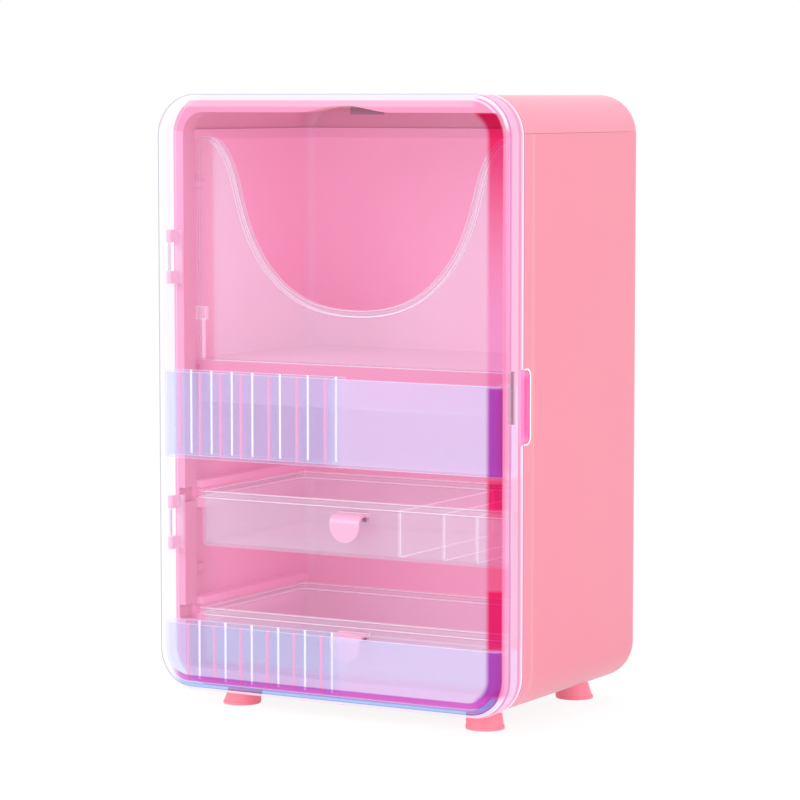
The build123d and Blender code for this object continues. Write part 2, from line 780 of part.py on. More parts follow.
def build_parts():
    """Every piece of the case by the name of its node."""
    parts = {
        "main_shell": make_main_shell(),
        "front_frame": make_front_frame(),
        "frame_screws": make_frame_screws(),
        "foot_screws": make_foot_screws(),
        "latch_magnet": make_latch_magnet(),
        "shelf": make_shelf(),
        "scoop_panel": make_scoop_panel(),
        "right_panel_clip": make_panel_clip(),
        "left_panel_clip": mirrored(make_panel_clip()),
        "lid_cap": make_lid_cap(),
        "lid_catch_block": make_lid_catch_block(),
        "left_lid_hinge_leaf": make_lid_hinge_leaf(-lid_hinge_x),
        "right_lid_hinge_leaf": make_lid_hinge_leaf(lid_hinge_x),
        "lid_hinge_pins": make_lid_hinge_pins(),
        "door_shell": make_door_shell(),
        "latch_plate": make_latch_plate(),
        "upper_bin": make_upper_bin(),
        "upper_bin_dividers": make_upper_bin_dividers(),
        "lower_bin": make_lower_bin(),
        "lower_bin_dividers": make_lower_bin_dividers(),
        "upper_drawer_dividers": make_drawer_dividers(upper_drawer_bottom),
    }
    for side, end, x, y in foot_places():
        name = ("front" if end < 0 else "rear") + ("_left" if side < 0 else "_right") + "_foot"
        parts[name] = make_foot(side, end, x, y)
    for level, z in (("lower", hinge_lower_z), ("upper", hinge_upper_z)):
        parts[level + "_hinge_bracket"] = make_hinge_bracket(z)
        parts[level + "_hinge_pin"] = make_hinge_pin(z)
    for level, bottom in (("lower", lower_drawer_bottom), ("upper", upper_drawer_bottom)):
        parts[level + "_drawer_tray"] = make_drawer_tray(bottom)
        parts[level + "_pull"] = make_pull(bottom)
        parts[level + "_pull_screw"] = make_pull_screw(bottom)
        parts[level + "_right_runner"] = make_runner(bottom)
        parts[level + "_left_runner"] = mirrored(make_runner(bottom))
    return parts


def main():
    os.makedirs("parts", exist_ok=True)
    for name, solid in build_parts().items():
        export_step(Pos(0, -centre_y, 0) * solid, "parts/" + name + ".step")
        print(name)


main()
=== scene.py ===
import logging
import math
from dataclasses import dataclass, field
from enum import Enum
from typing import Callable, Mapping, Optional, Sequence, Union

import bmesh
import bpy
from mathutils import Matrix, Vector


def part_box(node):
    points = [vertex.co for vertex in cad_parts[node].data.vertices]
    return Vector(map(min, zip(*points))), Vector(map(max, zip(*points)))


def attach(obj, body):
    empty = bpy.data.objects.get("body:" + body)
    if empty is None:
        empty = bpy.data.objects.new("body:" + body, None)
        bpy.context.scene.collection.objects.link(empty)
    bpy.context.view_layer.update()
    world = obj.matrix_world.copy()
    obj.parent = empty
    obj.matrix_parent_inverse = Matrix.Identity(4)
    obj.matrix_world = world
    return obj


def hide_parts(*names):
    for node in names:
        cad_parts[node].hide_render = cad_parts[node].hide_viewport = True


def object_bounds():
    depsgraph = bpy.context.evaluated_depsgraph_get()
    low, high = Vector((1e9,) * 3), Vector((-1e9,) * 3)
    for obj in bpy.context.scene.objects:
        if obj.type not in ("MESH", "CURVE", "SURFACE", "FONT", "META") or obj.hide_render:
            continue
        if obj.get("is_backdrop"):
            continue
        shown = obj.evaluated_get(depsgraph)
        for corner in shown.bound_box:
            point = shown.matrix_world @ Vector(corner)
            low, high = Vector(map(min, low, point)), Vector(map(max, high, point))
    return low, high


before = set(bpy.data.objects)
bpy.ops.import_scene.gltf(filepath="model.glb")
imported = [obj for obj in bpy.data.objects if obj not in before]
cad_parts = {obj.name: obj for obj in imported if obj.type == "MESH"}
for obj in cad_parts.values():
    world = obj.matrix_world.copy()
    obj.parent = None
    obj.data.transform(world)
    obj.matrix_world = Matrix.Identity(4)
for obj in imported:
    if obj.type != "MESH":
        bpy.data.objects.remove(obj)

# The finishes and the small details of a table-top cosmetic case: a pink moulded cabinet and lid,
# a clear door with two lilac bins, clear drawers and scoop panel, and the metal hardware.
# Metres, +Z up, the front faces -Y. The studio holds the camera, the lamps and the white floor.

log = logging.getLogger("cosmetic_case")

Colour = tuple[float, float, float]
Point = tuple[float, float, float]
Value = Union[float, "Link"]

MM = 0.001
WHITE = (1.0, 1.0, 1.0)
BLACK = (0.0, 0.0, 0.0)
PLASTIC_IOR = 1.49
MOST_DENSE = 0.96
SHARP_ANGLE = math.radians(32.0)
BEVEL_SAMPLES = 6
MIX_FIRST, MIX_SECOND, MIX_RESULT = 6, 7, 2


class Body(Enum):
    """The bodies of the case that pieces ride on."""

    CABINET = "cabinet"
    DOOR = "door"
    LID = "lid"
    UPPER_DRAWER = "upper_drawer"
    LOWER_DRAWER = "lower_drawer"


class Axis(Enum):
    """A coordinate of a point on the case, as its place in a vector."""

    X = 0
    Y = 1
    Z = 2


class Link:
    """A node's output, with the arithmetic that shader maths needs."""

    def __init__(self, sheet: "Sheet", socket: bpy.types.NodeSocket) -> None:
        """Wraps one output socket.

        Args:
            sheet: The sheet that the socket's node is on.
            socket: The output to wrap.
        """
        self.sheet = sheet
        self.socket = socket

    def _math(self, operation: str, first: Value, second: Value) -> "Link":
        """Adds a Math node.

        Args:
            operation: The node's operation.
            first: Its first value or link.
            second: Its second value or link.

        Returns:
            The node's result.
        """
        return self.sheet.node("ShaderNodeMath", {"operation": operation}, {0: first, 1: second})

    def __add__(self, other: Value) -> "Link":
        """This plus other."""
        return self._math("ADD", self, other)

    __radd__ = __add__

    def __sub__(self, other: Value) -> "Link":
        """This less other."""
        return self._math("SUBTRACT", self, other)

    def __rsub__(self, other: Value) -> "Link":
        """Other less this."""
        return self._math("SUBTRACT", other, self)

    def __mul__(self, other: Value) -> "Link":
        """This times other."""
        return self._math("MULTIPLY", self, other)

    __rmul__ = __mul__

    def __truediv__(self, other: Value) -> "Link":
        """This divided by other."""
        return self._math("DIVIDE", self, other)

    def __pow__(self, other: Value) -> "Link":
        """This to the power of other."""
        return self._math("POWER", self, other)

    def __abs__(self) -> "Link":
        """This without its sign."""
        return self._math("ABSOLUTE", self, 0.0)

    def larger(self, other: Value) -> "Link":
        """The larger of this and other."""
        return self._math("MAXIMUM", self, other)

    def smaller(self, other: Value) -> "Link":
        """The smaller of this and other."""
        return self._math("MINIMUM", self, other)

    def step(self, low: float, high: float) -> "Link":
        """A smooth step from 0 at low to 1 at high.

        Args:
            low: Where the step starts.
            high: Where the step ends; below low, the step falls instead of rising.

        Returns:
            The step, from 0 to 1.
        """
        ends = {"From Min": min(low, high), "From Max": max(low, high)}
        rising = self.sheet.node("ShaderNodeMapRange", {"interpolation_type": "SMOOTHSTEP"},
                                 {"Value": self, **ends})
        return rising if low < high else 1 - rising

    def band(self, low: float, high: float, soft: float) -> "Link":
        """One between low and high, and zero outside them.

        Args:
            low: The band's lower edge.
            high: The band's upper edge.
            soft: How wide each edge's fade is.

        Returns:
            The band's mask.
        """
        return self.step(low - soft, low + soft) * self.step(high + soft, high - soft)


class Sheet:
    """The node tree of a material or of the world, filled by name."""

    def __init__(self, name: str, of_world: bool = False) -> None:
        """Starts an empty tree.

        Args:
            name: The material's or the world's name.
            of_world: Whether the tree is the world's.
        """
        self.owner = (bpy.data.worlds if of_world else bpy.data.materials).new(name)
        self.output = "ShaderNodeOutputWorld" if of_world else "ShaderNodeOutputMaterial"
        self.owner.use_nodes = True
        self.tree = self.owner.node_tree
        self.tree.nodes.clear()

    def add(self, kind: str, settings: Mapping[str, object],
            inputs: Mapping[Union[str, int], object]) -> bpy.types.Node:
        """Adds a node, sets it up and joins its inputs.

        Args:
            kind: The node's type.
            settings: The node's own settings, which are set before its sockets.
            inputs: Values or links by socket name or place.

        Returns:
            The node.
        """
        added = self.tree.nodes.new(kind)
        for setting, value in settings.items():
            setattr(added, setting, value)
        for key, value in inputs.items():
            if isinstance(value, Link):
                self.tree.links.new(value.socket, added.inputs[key])
            else:
                added.inputs[key].default_value = value
        return added

    def node(self, kind: str, settings: Mapping[str, object], inputs: Mapping[Union[str, int], object],
             output: Union[str, int] = 0) -> Link:
        """Adds a node as add does, and wraps one of its outputs."""
        return Link(self, self.add(kind, settings, inputs).outputs[output])

    def place(self, axis: Axis) -> Link:
        """One coordinate of the point, in the case's own frame."""
        point = self.node("ShaderNodeTexCoord", {}, {}, "Object")
        return self.node("ShaderNodeSeparateXYZ", {}, {0: point}, axis.value)

    def inset(self, half_width: float, half_height: float, centre_z: float, corner: float) -> Link:
        """How far a point lies inside a rounded outline that is seen from the front.

        Args:
            half_width: Half the outline's width.
            half_height: Half its height.
            centre_z: The height of its middle.
            corner: Its corners' radius.

        Returns:
            The depth inside the outline, below zero outside it.
        """
        across = abs(self.place(Axis.X)) - (half_width - corner)
        along = abs(self.place(Axis.Z) - centre_z) - (half_height - corner)
        return self.rounded(across, along, corner)

    @staticmethod
    def rounded(across: Link, along: Link, corner: float) -> Link:
        """How far a point lies inside a rounded rectangle.

        Args:
            across: How far the point is past the corner's centre, one way.
            along: The same, the other way.
            corner: The corner's radius.

        Returns:
            The depth inside, below zero outside.
        """
        out_a = across.larger(0.0)
        out_b = along.larger(0.0)
        outside = (out_a * out_a + out_b * out_b) ** 0.5
        return corner - outside - across.larger(along).smaller(0.0)

    def facing(self) -> Link:
        """How far the surface turns away from the eye."""
        return self.node("ShaderNodeLayerWeight", {}, {"Blend": 0.5}, "Facing")

    def seen(self) -> Link:
        """Finds the rays that show their surface to the eye, also by a gloss or through clear plastic.

        Returns:
            One for such a ray, and zero for the light that falls on the case.
        """
        camera, gloss, through = (self.node("ShaderNodeLightPath", {}, {}, f"Is {ray} Ray")
                                  for ray in ("Camera", "Glossy", "Transmission"))
        return camera.larger(gloss).larger(through)

    def noise(self, scale: float, detail: float, stretch: Point = (1.0, 1.0, 1.0)) -> Link:
        """Even noise through the case's own frame.

        Args:
            scale: Its scale, per metre.
            detail: How many octaves it has.
            stretch: How much it is packed along each axis.

        Returns:
            The noise, from 0 to 1.
        """
        point = self.node("ShaderNodeTexCoord", {}, {}, "Object")
        packed = self.node("ShaderNodeMapping", {}, {"Vector": point, "Scale": stretch})
        return self.node("ShaderNodeTexNoise", {}, {"Vector": packed, "Scale": scale, "Detail": detail})

    def mix(self, share: Value, low: object, high: object) -> Link:
        """A colour between two colours.

        Args:
            share: 0 for the first colour and 1 for the second.
            low: The first colour or link.
            high: The second colour or link.

        Returns:
            The mixed colour.
        """
        ends = {MIX_FIRST: opaque(low), MIX_SECOND: opaque(high)}
        return self.node("ShaderNodeMix", {"data_type": "RGBA"}, {0: share, **ends}, MIX_RESULT)

    def edge(self, radius: float, gain: float) -> Link:
        """One along a piece's sharp edges, from how far a bevel would turn its surface there.

        Args:
            radius: The bevel's radius in metres.
            gain: How strongly a turned surface counts.

        Returns:
            The edge mask, from 0 to 1.
        """
        rounded = self.node("ShaderNodeBevel", {"samples": BEVEL_SAMPLES}, {"Radius": radius})
        plain = self.node("ShaderNodeNewGeometry", {}, {}, "Normal")
        dot = self.node("ShaderNodeVectorMath", {"operation": "DOT_PRODUCT"}, {0: rounded, 1: plain}, "Value")
        return ((1 - dot) * gain).smaller(1.0)

    def bump(self, height: Link, distance: float, strength: float) -> Link:
        """A bumped normal from a height.

        Args:
            height: The height, from 0 to 1.
            distance: How far a height of 1 stands out, in metres.
            strength: The share of it that shows.

        Returns:
            The bumped normal.
        """
        return self.node("ShaderNodeBump", {}, {"Height": height, "Distance": distance, "Strength": strength})

    def finish(self, shader: Link) -> bpy.types.ID:
        """Joins the shader to the tree's output and gives back the material or world."""
        self.add(self.output, {}, {"Surface": shader})
        return self.owner


def opaque(colour: object) -> object:
    """A colour with its fourth number, or a link as it is."""
    return colour if isinstance(colour, Link) else (*colour, 1.0)


@dataclass(frozen=True)
class Span:
    """A stretch in millimetres: a band where its edges have a softness, and otherwise a step."""

    low: float
    high: float
    soft: float = 0.0

    def mask(self, measure: Link) -> Link:
        """One in the band, or past the step's high end.

        Args:
            measure: What the stretch is measured along, in metres.

        Returns:
            The mask, from 0 to 1.
        """
        if self.soft:
            return measure.band(self.low * MM, self.high * MM, self.soft * MM)
        return measure.step(self.low * MM, self.high * MM)


@dataclass(frozen=True)
class Tint:
    """A colour that a place on clear plastic picks up, how dense it is, and the stretch that it fills."""

    colour: Colour
    density: float
    span: Optional[Span] = None

    def over(self, measure: Link, *shares: Link) -> tuple[Link, "Tint"]:
        """The tint with its mask.

        Args:
            measure: What its stretch is measured along.
            shares: Further masks that it is kept to.

        Returns:
            The mask and the tint.
        """
        mask = self.span.mask(measure)
        for share in shares:
            mask = mask * share
        return mask, self


@dataclass(frozen=True)
class MouldedFinish:
    """Satin moulded plastic with a faint orange peel, slow drifts in its colour and, where glow is set, a
    painted glow.
    """

    name: str
    colour: Colour
    deep: Colour
    roughness: float = 0.34
    peel: float = 0.012
    peel_depth: float = 0.01 * MM
    coat: float = 0.18
    coat_roughness: float = 0.12
    # glow paints light: an emission that brightens the plastic though it is no lamp.
    glow: float = 0.0
    drift_scale: float = 9.0
    drift_range: tuple[float, float] = (0.25, 0.85)
    drift_share: float = 0.5
    grain_scale: float = 1500.0
    grain_share: float = 0.04
    grain_dulling: float = 0.03

    def painted_glow_colour(self, sheet: Sheet, colour: Link) -> Link:
        """The colour of the painted glow, which makes the plastic glow though it is no lamp."""
        return colour

    def details(self, sheet: Sheet, colour: Link, height: Link) -> tuple[Link, Link]:
        """Adds what a finish has in one place only; plain plastic has nothing."""
        return colour, height

    def material(self) -> bpy.types.Material:
        """Builds the finish.

        Returns:
            Its material.
        """
        sheet = Sheet(self.name)
        drift = sheet.noise(self.drift_scale, 2.0).step(*self.drift_range)
        grain = sheet.noise(self.grain_scale, 1.0)
        plain = sheet.mix(drift * self.drift_share + grain * self.grain_share, self.colour, self.deep)
        colour, height = self.details(sheet, plain, grain)
        shader = sheet.node("ShaderNodeBsdfPrincipled", {}, {
            "Base Color": colour,
            "Roughness": self.roughness + (grain - 0.5) * self.grain_dulling,
            "IOR": PLASTIC_IOR,
            "Coat Weight": self.coat,
            "Coat Roughness": self.coat_roughness,
            # Painted glow: the plastic emits its own colour.
            "Emission Color": self.painted_glow_colour(sheet, colour),
            "Emission Strength": self.glow,
            "Normal": sheet.bump(height, self.peel_depth, self.peel),
        })
        return sheet.finish(shader)


@dataclass(frozen=True)
class ShellFinish(MouldedFinish):
    """The cabinet's plastic, with a painted highlight along its seam, painted shade in its parting line, and
    an inside painted in its own lit copy of the colour.
    """

    # The shell's inside glows as painted light, more of it higher up.
    glow: float = 0.15
    painted_glow_rise: Span = Span(120.0, 300.0)
    least_painted_glow: float = 0.4
    # A lighter band along the seam between frame and shell: a painted highlight.
    seam_highlight: Span = Span(-59.1, -56.1, 0.8)
    seam_highlight_colour: Colour = (1.0, 0.44, 0.52)
    seam_highlight_share: float = 0.75
    half_width: float = 124.0 * MM
    half_height: float = 186.0 * MM
    centre_z: float = 199.4 * MM
    corner: float = 25.0 * MM
    rear_y: float = 89.4 * MM
    rear_corner: float = 9.0 * MM
    wall: Span = Span(1.0, 1.8)
    front: Span = Span(-70.0, -69.2)
    # The inside is painted in its own copy of the colour for how it is lit, and darker at its mouth as
    # painted shade.
    inside_painted_colour: Colour = (0.99, 0.46, 0.67)
    mouth: Span = Span(-56.0, -15.0)
    mouth_shade_colour: Colour = (0.80, 0.33, 0.48)
    # The parting line is darkened as painted shade.
    parting_shade: Span = Span(361.9, 362.9, 0.15)
    parting_shade_share: float = 0.6

    def inside(self, sheet: Sheet) -> Link:
        """Finds the surfaces inside the case.

        Args:
            sheet: The material's sheet.

        Returns:
            One on them, and zero on the outer skin.
        """
        inset = sheet.inset(self.half_width, self.half_height, self.centre_z, self.corner)
        place = sheet.place(Axis.Y)
        behind = place - (self.rear_y - self.rear_corner)
        depth = sheet.rounded(self.rear_corner - inset, behind, self.rear_corner)
        return self.wall.mask(depth) * self.front.mask(place)

    def painted_glow_colour(self, sheet: Sheet, colour: Link) -> Link:
        """The painted glow lights the inside only, and more of it higher up."""
        share = self.painted_glow_rise.mask(sheet.place(Axis.Z)) * (1 - self.least_painted_glow) + self.least_painted_glow
        return sheet.mix(self.inside(sheet) * share, BLACK, colour)

    def details(self, sheet: Sheet, colour: Link, height: Link) -> tuple[Link, Link]:
        """Adds the seam's painted highlight, the parting line's painted shade and the inside's painted
        colour, darker at its mouth as painted shade.

        Args:
            sheet: The material's sheet.
            colour: The plain colour.
            height: The plain height.

        Returns:
            The colour and the height with the details.
        """
        inside = self.inside(sheet)
        place = sheet.place(Axis.Y)
        # Painted highlight on the seam, painted shade in the parting line, painted light and shade inside.
        seam_highlight = self.seam_highlight.mask(place) * (1 - inside) * self.seam_highlight_share
        parting_shade = self.parting_shade.mask(sheet.place(Axis.Z)) * self.parting_shade_share
        lined = sheet.mix(parting_shade, sheet.mix(seam_highlight, colour, self.seam_highlight_colour), self.deep)
        mouth = sheet.mix(self.mouth.mask(place), self.mouth_shade_colour, self.inside_painted_colour)
        return sheet.mix(inside, lined, mouth), height


@dataclass(frozen=True)
class FrameFinish(ShellFinish):
    """The front frame's plastic, with painted shade in its finger recess and a painted copy of its colour on
    the face behind the door.
    """

    recess: tuple[Span, Span, Span] = (Span(117.0, 123.6, 0.3), Span(-70.0, -60.9, 0.3),
                                       Span(181.5, 218.5, 0.3))
    # The finger recess is darkened as painted shade.
    recess_shade_colour: Colour = (0.96, 0.12, 0.47)
    face: Span = Span(-70.1, -70.4)
    # The face behind the door is painted in its own copy of the colour for how it is lit.
    face_painted_colour: Colour = (0.97, 0.36, 0.60)
    mouth: Span = Span(-80.0, -79.0)

    def details(self, sheet: Sheet, colour: Link, height: Link) -> tuple[Link, Link]:
        """Adds the shell's details, the recess's painted shade and the face behind the door in its own
        painted colour.

        Args:
            sheet: The material's sheet.
            colour: The plain colour.
            height: The plain height.

        Returns:
            The colour and the height with the details.
        """
        colour, height = super().details(sheet, colour, height)
        colour = sheet.mix(self.face.mask(sheet.place(Axis.Y)), colour, self.face_painted_colour)
        across, deep, up = (span.mask(sheet.place(axis)) for axis, span in zip(Axis, self.recess))
        return sheet.mix(across * deep * up, colour, self.recess_shade_colour), height


@dataclass(frozen=True)
class ShelfFinish(MouldedFinish):
    """The shelf's plastic, darker on the apron that faces the front as painted shade."""

    apron: Span = Span(-55.8, -56.2)
    # The apron is darkened as painted shade.
    apron_shade_colour: Colour = (0.80, 0.24, 0.42)

    def details(self, sheet: Sheet, colour: Link, height: Link) -> tuple[Link, Link]:
        """Adds the apron's painted shade."""
        return sheet.mix(self.apron.mask(sheet.place(Axis.Y)), colour, self.apron_shade_colour), height


@dataclass(frozen=True)
class FootFinish(MouldedFinish):
    """The feet's softer plastic, with a fine groove round each foot, bumped in and darkened as painted shade.
    """

    ring: Span = Span(1.5, 2.1, 0.2)
    # The groove is darkened as painted shade.
    groove_shade_share: float = 0.7
    ring_depth: float = 4.0

    def details(self, sheet: Sheet, colour: Link, height: Link) -> tuple[Link, Link]:
        """Adds the groove's bump and its painted shade."""
        ring = self.ring.mask(sheet.place(Axis.Z))
        return sheet.mix(ring * self.groove_shade_share, colour, self.deep), height - ring * self.ring_depth


@dataclass(frozen=True)
class ClearFinish:
    """Clear polished plastic: a thin haze on its faces, denser where it turns away and at its edges, where
    the rim colour paints a highlight; the haze also has a painted glow.
    """

    name: str
    haze: Colour = (0.97, 0.76, 0.96)
    # The rim colour and edge_alpha paint a highlight along the edges.
    rim: Colour = (1.0, 0.97, 1.0)
    face_alpha: float = 0.07
    turned_alpha: float = 0.30
    turn_power: float = 3.0
    edge_alpha: float = 0.75
    edge_radius: float = 0.7 * MM
    edge_gain: float = 6.0
    roughness: float = 0.06
    # glow is painted light: the haze emits its own colour though it is no lamp.
    glow: float = 0.30
    flow_scale: float = 22.0
    flow_stretch: Point = (1.0, 1.0, 0.25)
    flow_range: tuple[float, float] = (0.35, 0.75)
    flow_shade: float = 0.94
    ripple_scale: float = 60.0
    ripple_depth: float = 0.02 * MM
    ripple_strength: float = 0.1
    ripple_dulling: float = 0.04

    def colour(self, sheet: Sheet, edge: Link) -> Link:
        """The haze's colour, with the rim's painted highlight along the edges and faint streaks of flow.

        Args:
            sheet: The material's sheet.
            edge: The edge mask.

        Returns:
            The colour.
        """
        flow = sheet.noise(self.flow_scale, 3.0, self.flow_stretch).step(*self.flow_range)
        soft = tuple(self.flow_shade * part for part in self.haze)
        return sheet.mix(edge, sheet.mix(flow, self.haze, soft), self.rim)

    def alpha(self, sheet: Sheet, edge: Link) -> Link:
        """How dense the plastic looks, from face on to edge on.

        Args:
            sheet: The material's sheet.
            edge: The edge mask.

        Returns:
            The density, from 0 to 1.
        """
        turned = sheet.facing() ** self.turn_power
        base = turned * (self.turned_alpha - self.face_alpha) + self.face_alpha
        return (base + edge * self.edge_alpha).smaller(MOST_DENSE)

    def shader(self, sheet: Sheet, colour: Link, alpha: Link) -> Link:
        """The polished surface.

        Args:
            sheet: The material's sheet.
            colour: Its colour.
            alpha: Its density.

        Returns:
            The shader.
        """
        ripple = sheet.noise(self.ripple_scale, 1.0)
        return sheet.node("ShaderNodeBsdfPrincipled", {}, {
            "Base Color": colour,
            "Roughness": ripple * self.ripple_dulling + self.roughness,
            "IOR": PLASTIC_IOR,
            "Alpha": alpha,
            # Painted glow.
            "Emission Color": colour,
            "Emission Strength": self.glow,
            "Normal": sheet.bump(ripple, self.ripple_depth, self.ripple_strength),
        })

    def material(self) -> bpy.types.Material:
        """Builds the finish.

        Returns:
            Its material.
        """
        sheet = Sheet(self.name)
        edge = sheet.edge(self.edge_radius, self.edge_gain)
        return sheet.finish(self.shader(sheet, self.colour(sheet, edge), self.alpha(sheet, edge)))


@dataclass(frozen=True)
class OutlinedFinish(ClearFinish):
    """Clear plastic whose painted edge highlights each have a thin painted dark line beside them."""

    edge_radius: float = 1.0 * MM
    edge_gain: float = 9.0
    # A painted dark line beside each painted edge highlight.
    line: Tint = Tint((0.38, 0.12, 0.22), 0.70)
    line_reach: float = 2.6

    def material(self) -> bpy.types.Material:
        """Builds the finish.

        Returns:
            Its material.
        """
        sheet = Sheet(self.name)
        edge = sheet.edge(self.edge_radius, self.edge_gain)
        wide = sheet.edge(self.edge_radius * self.line_reach, self.edge_gain)
        beside = (wide - edge).larger(0.0)
        alpha = self.alpha(sheet, edge)
        colour = sheet.mix(beside, self.colour(sheet, edge), self.line.colour)
        return sheet.finish(self.shader(sheet, colour, alpha + (self.line.density - alpha) * beside))


@dataclass(frozen=True)
class PanelFinish(OutlinedFinish):
    """The scoop panel, whose margins behind the frame's posts are left clearer."""

    margin: Span = Span(103.0, 104.0)
    margin_share: float = 0.25

    def alpha(self, sheet: Sheet, edge: Link) -> Link:
        """How dense the plastic looks, and far less so in its margins."""
        margin = self.margin.mask(abs(sheet.place(Axis.X)))
        return super().alpha(sheet, edge) * (1 - margin * (1 - self.margin_share))


@dataclass(frozen=True)
class DoorFinish(ClearFinish):
    """The clear door: a lilac haze over its flat front, and bands of painted light where its edge turns:
    highlights, reflections, refraction and shade lines.
    """

    half_width: float = 125.0 * MM
    half_height: float = 187.0 * MM
    centre_z: float = 199.4 * MM
    corner: float = 26.0 * MM
    edge_fillet: float = 11.0 * MM
    side_y: float = -83.4 * MM
    rear_y: float = -71.0 * MM
    skin: Span = Span(9.2, 9.8)
    front: Span = Span(0.5, -1.0)
    past_shoulder: Span = Span(-3.4, -2.6)
    right: Span = Span(99.0, 106.0)
    film_right: Span = Span(102.0, 108.0)
    top: Span = Span(362.0, 369.0)
    foot: Span = Span(30.0, 24.0)
    foot_start: Span = Span(-114.0, -104.0)
    outer: Span = Span(0.5, 0.2)
    tab_reach: float = 8.7 * MM
    tab_half_height: float = 23.0 * MM
    tab_z: float = 200.2 * MM
    tab_corner: float = 5.0 * MM
    tab: Span = Span(0.2, 0.6)
    tab_face: Span = Span(124.0, 124.5)
    tab_end: Span = Span(23.0, 22.4)
    bins: tuple[Span, Span] = (Span(159.6, 213.0, 1.2), Span(15.0, 55.5, 1.2))
    strip_depth: Span = Span(-82.0, -82.6)
    strip_height: Span = Span(190.7, 222.7, 0.4)
    outline_turn: tuple[float, float] = (0.61, 0.70)
    turn_start: Span = Span(2.9, 3.9)
    turn_end: Span = Span(14.0, 10.0)
    turn_top: Span = Span(375.5, 374.0)
    deep_rise: Span = Span(230.0, 375.0)
    deep_gaps: tuple[tuple[Span, float], ...] = (
        (Span(56.0, 92.0, 2.0), 1.0), (Span(138.0, 159.0, 4.0), 1.0), (Span(92.0, 138.0, 3.0), 0.55))
    face_alpha: float = 0.03
    turned_alpha: float = 0.22
    # The tints after flat are painted light: highlights, reflections, refraction and dark shade lines; the
    # films are painted refraction.
    flat: Tint = Tint((0.86, 0.50, 0.92), 0.09, Span(10.4, 11.8))
    pale_edge: Tint = Tint((0.80, 0.83, 0.92), 0.20, Span(9.0, 7.0))
    top_edge: Tint = Tint((0.80, 0.68, 0.80), 0.80, Span(4.6, 3.6))
    fillet: Tint = Tint((0.98, 0.32, 0.62), 0.45, Span(1.0, 3.4, 0.4))
    fillet_line: Tint = Tint((0.98, 0.17, 0.42), 0.60, Span(2.3, 3.4, 0.25))
    crest: Tint = Tint((0.90, 0.58, 0.84), 0.85, Span(0.32, 0.22))
    corner_shine: Tint = Tint((0.96, 0.90, 0.98), 0.75, Span(0.9, 2.1, 0.4))
    shoulder: Tint = Tint((0.60, 0.22, 0.45), 0.95, Span(0.42, 0.98, 0.1))
    wall: Tint = Tint((0.89, 0.42, 0.62), 0.72)
    wall_at_bin: Tint = Tint((0.70, 0.56, 0.84), 0.60)
    mauve_line: Tint = Tint((0.63, 0.24, 0.37), 0.95, Span(-7.4, -4.4, 0.5))
    tab_side: Tint = Tint((0.96, 0.20, 0.52), 0.75, Span(-6.8, -5.6))
    tab_inner: Tint = Tint((0.92, 0.10, 0.40), 0.55, Span(1.2, 1.6))
    tab_line: Tint = Tint((0.44, 0.10, 0.22), 0.80, Span(1.0, 2.0, 0.2))
    tab_rim: Tint = Tint((1.0, 0.96, 1.0), 0.85, Span(1.0, 0.8))
    rim_line: Tint = Tint((0.98, 0.72, 0.88), 0.90, Span(-2.7, -1.2, 0.25))
    rim_foot: Tint = Tint((0.52, 0.18, 0.28), 0.95, Span(-1.1, -0.9))
    strip_window: Tint = Tint((0.90, 0.80, 0.95), 0.06, Span(1.5, 1.3))
    foot_pale: Tint = Tint((0.66, 0.74, 0.98), 0.75, Span(1.3, 2.9, 0.2))
    foot_pink: Tint = Tint((0.88, 0.20, 0.42), 0.75, Span(1.2, 0.9))
    outline: Tint = Tint((0.34, 0.36, 0.42), 0.75, Span(9.0, 7.0))
    soft_film: Tint = Tint((0.97, 0.60, 0.92), 0.90)
    deep_film: Tint = Tint((1.0, 0.02, 0.26), 0.96)
    bin_film: Tint = Tint((0.57, 0.05, 0.52), 0.93)
    magenta_film: Tint = Tint((0.84, 0.20, 0.72), 0.90, Span(7.0, 11.0, 0.5))
    blue_film: Tint = Tint((0.36, 0.60, 0.98), 0.90, Span(3.6, 6.6, 0.2))
    line_film: Tint = Tint((0.12, 0.20, 0.66), 0.80, Span(3.1, 3.6, 0.15))

    def inset(self, sheet: Sheet) -> Link:
        """How far inside the door's outline a point lies, seen from the front."""
        return sheet.inset(self.half_width, self.half_height, self.centre_z, self.corner)

    def tab_inset(self, sheet: Sheet) -> Link:
        """How far inside the finger tab's outline a point lies, seen from the side.

        Args:
            sheet: The material's sheet.

        Returns:
            The depth inside it.
        """
        across = abs(sheet.place(Axis.Y) - self.rear_y) - (self.tab_reach - self.tab_corner)
        along = abs(sheet.place(Axis.Z) - self.tab_z) - (self.tab_half_height - self.tab_corner)
        return sheet.rounded(across, along, self.tab_corner)

    def on_front(self, sheet: Sheet) -> Link:
        """Finds the door's outer skin in front of its side walls.

        Args:
            sheet: The material's sheet.

        Returns:
            One on it, and zero on the inner skin and the walls.
        """
        past_side = sheet.place(Axis.Y) - self.side_y
        out_xz = (self.edge_fillet - self.inset(sheet)).larger(0.0)
        out_y = (0 - past_side).larger(0.0)
        return self.front.mask(past_side) * self.skin.mask((out_xz * out_xz + out_y * out_y) ** 0.5)

    def on_foot(self, sheet: Sheet) -> Link:
        """One along the door's lower edge, from just past its left corner."""
        return self.foot.mask(sheet.place(Axis.Z)) * self.foot_start.mask(sheet.place(Axis.X))

    def on_bins(self, sheet: Sheet) -> Link:
        """One at the heights of the two bins."""
        first, second = (span.mask(sheet.place(Axis.Z)) for span in self.bins)
        return first.larger(second)

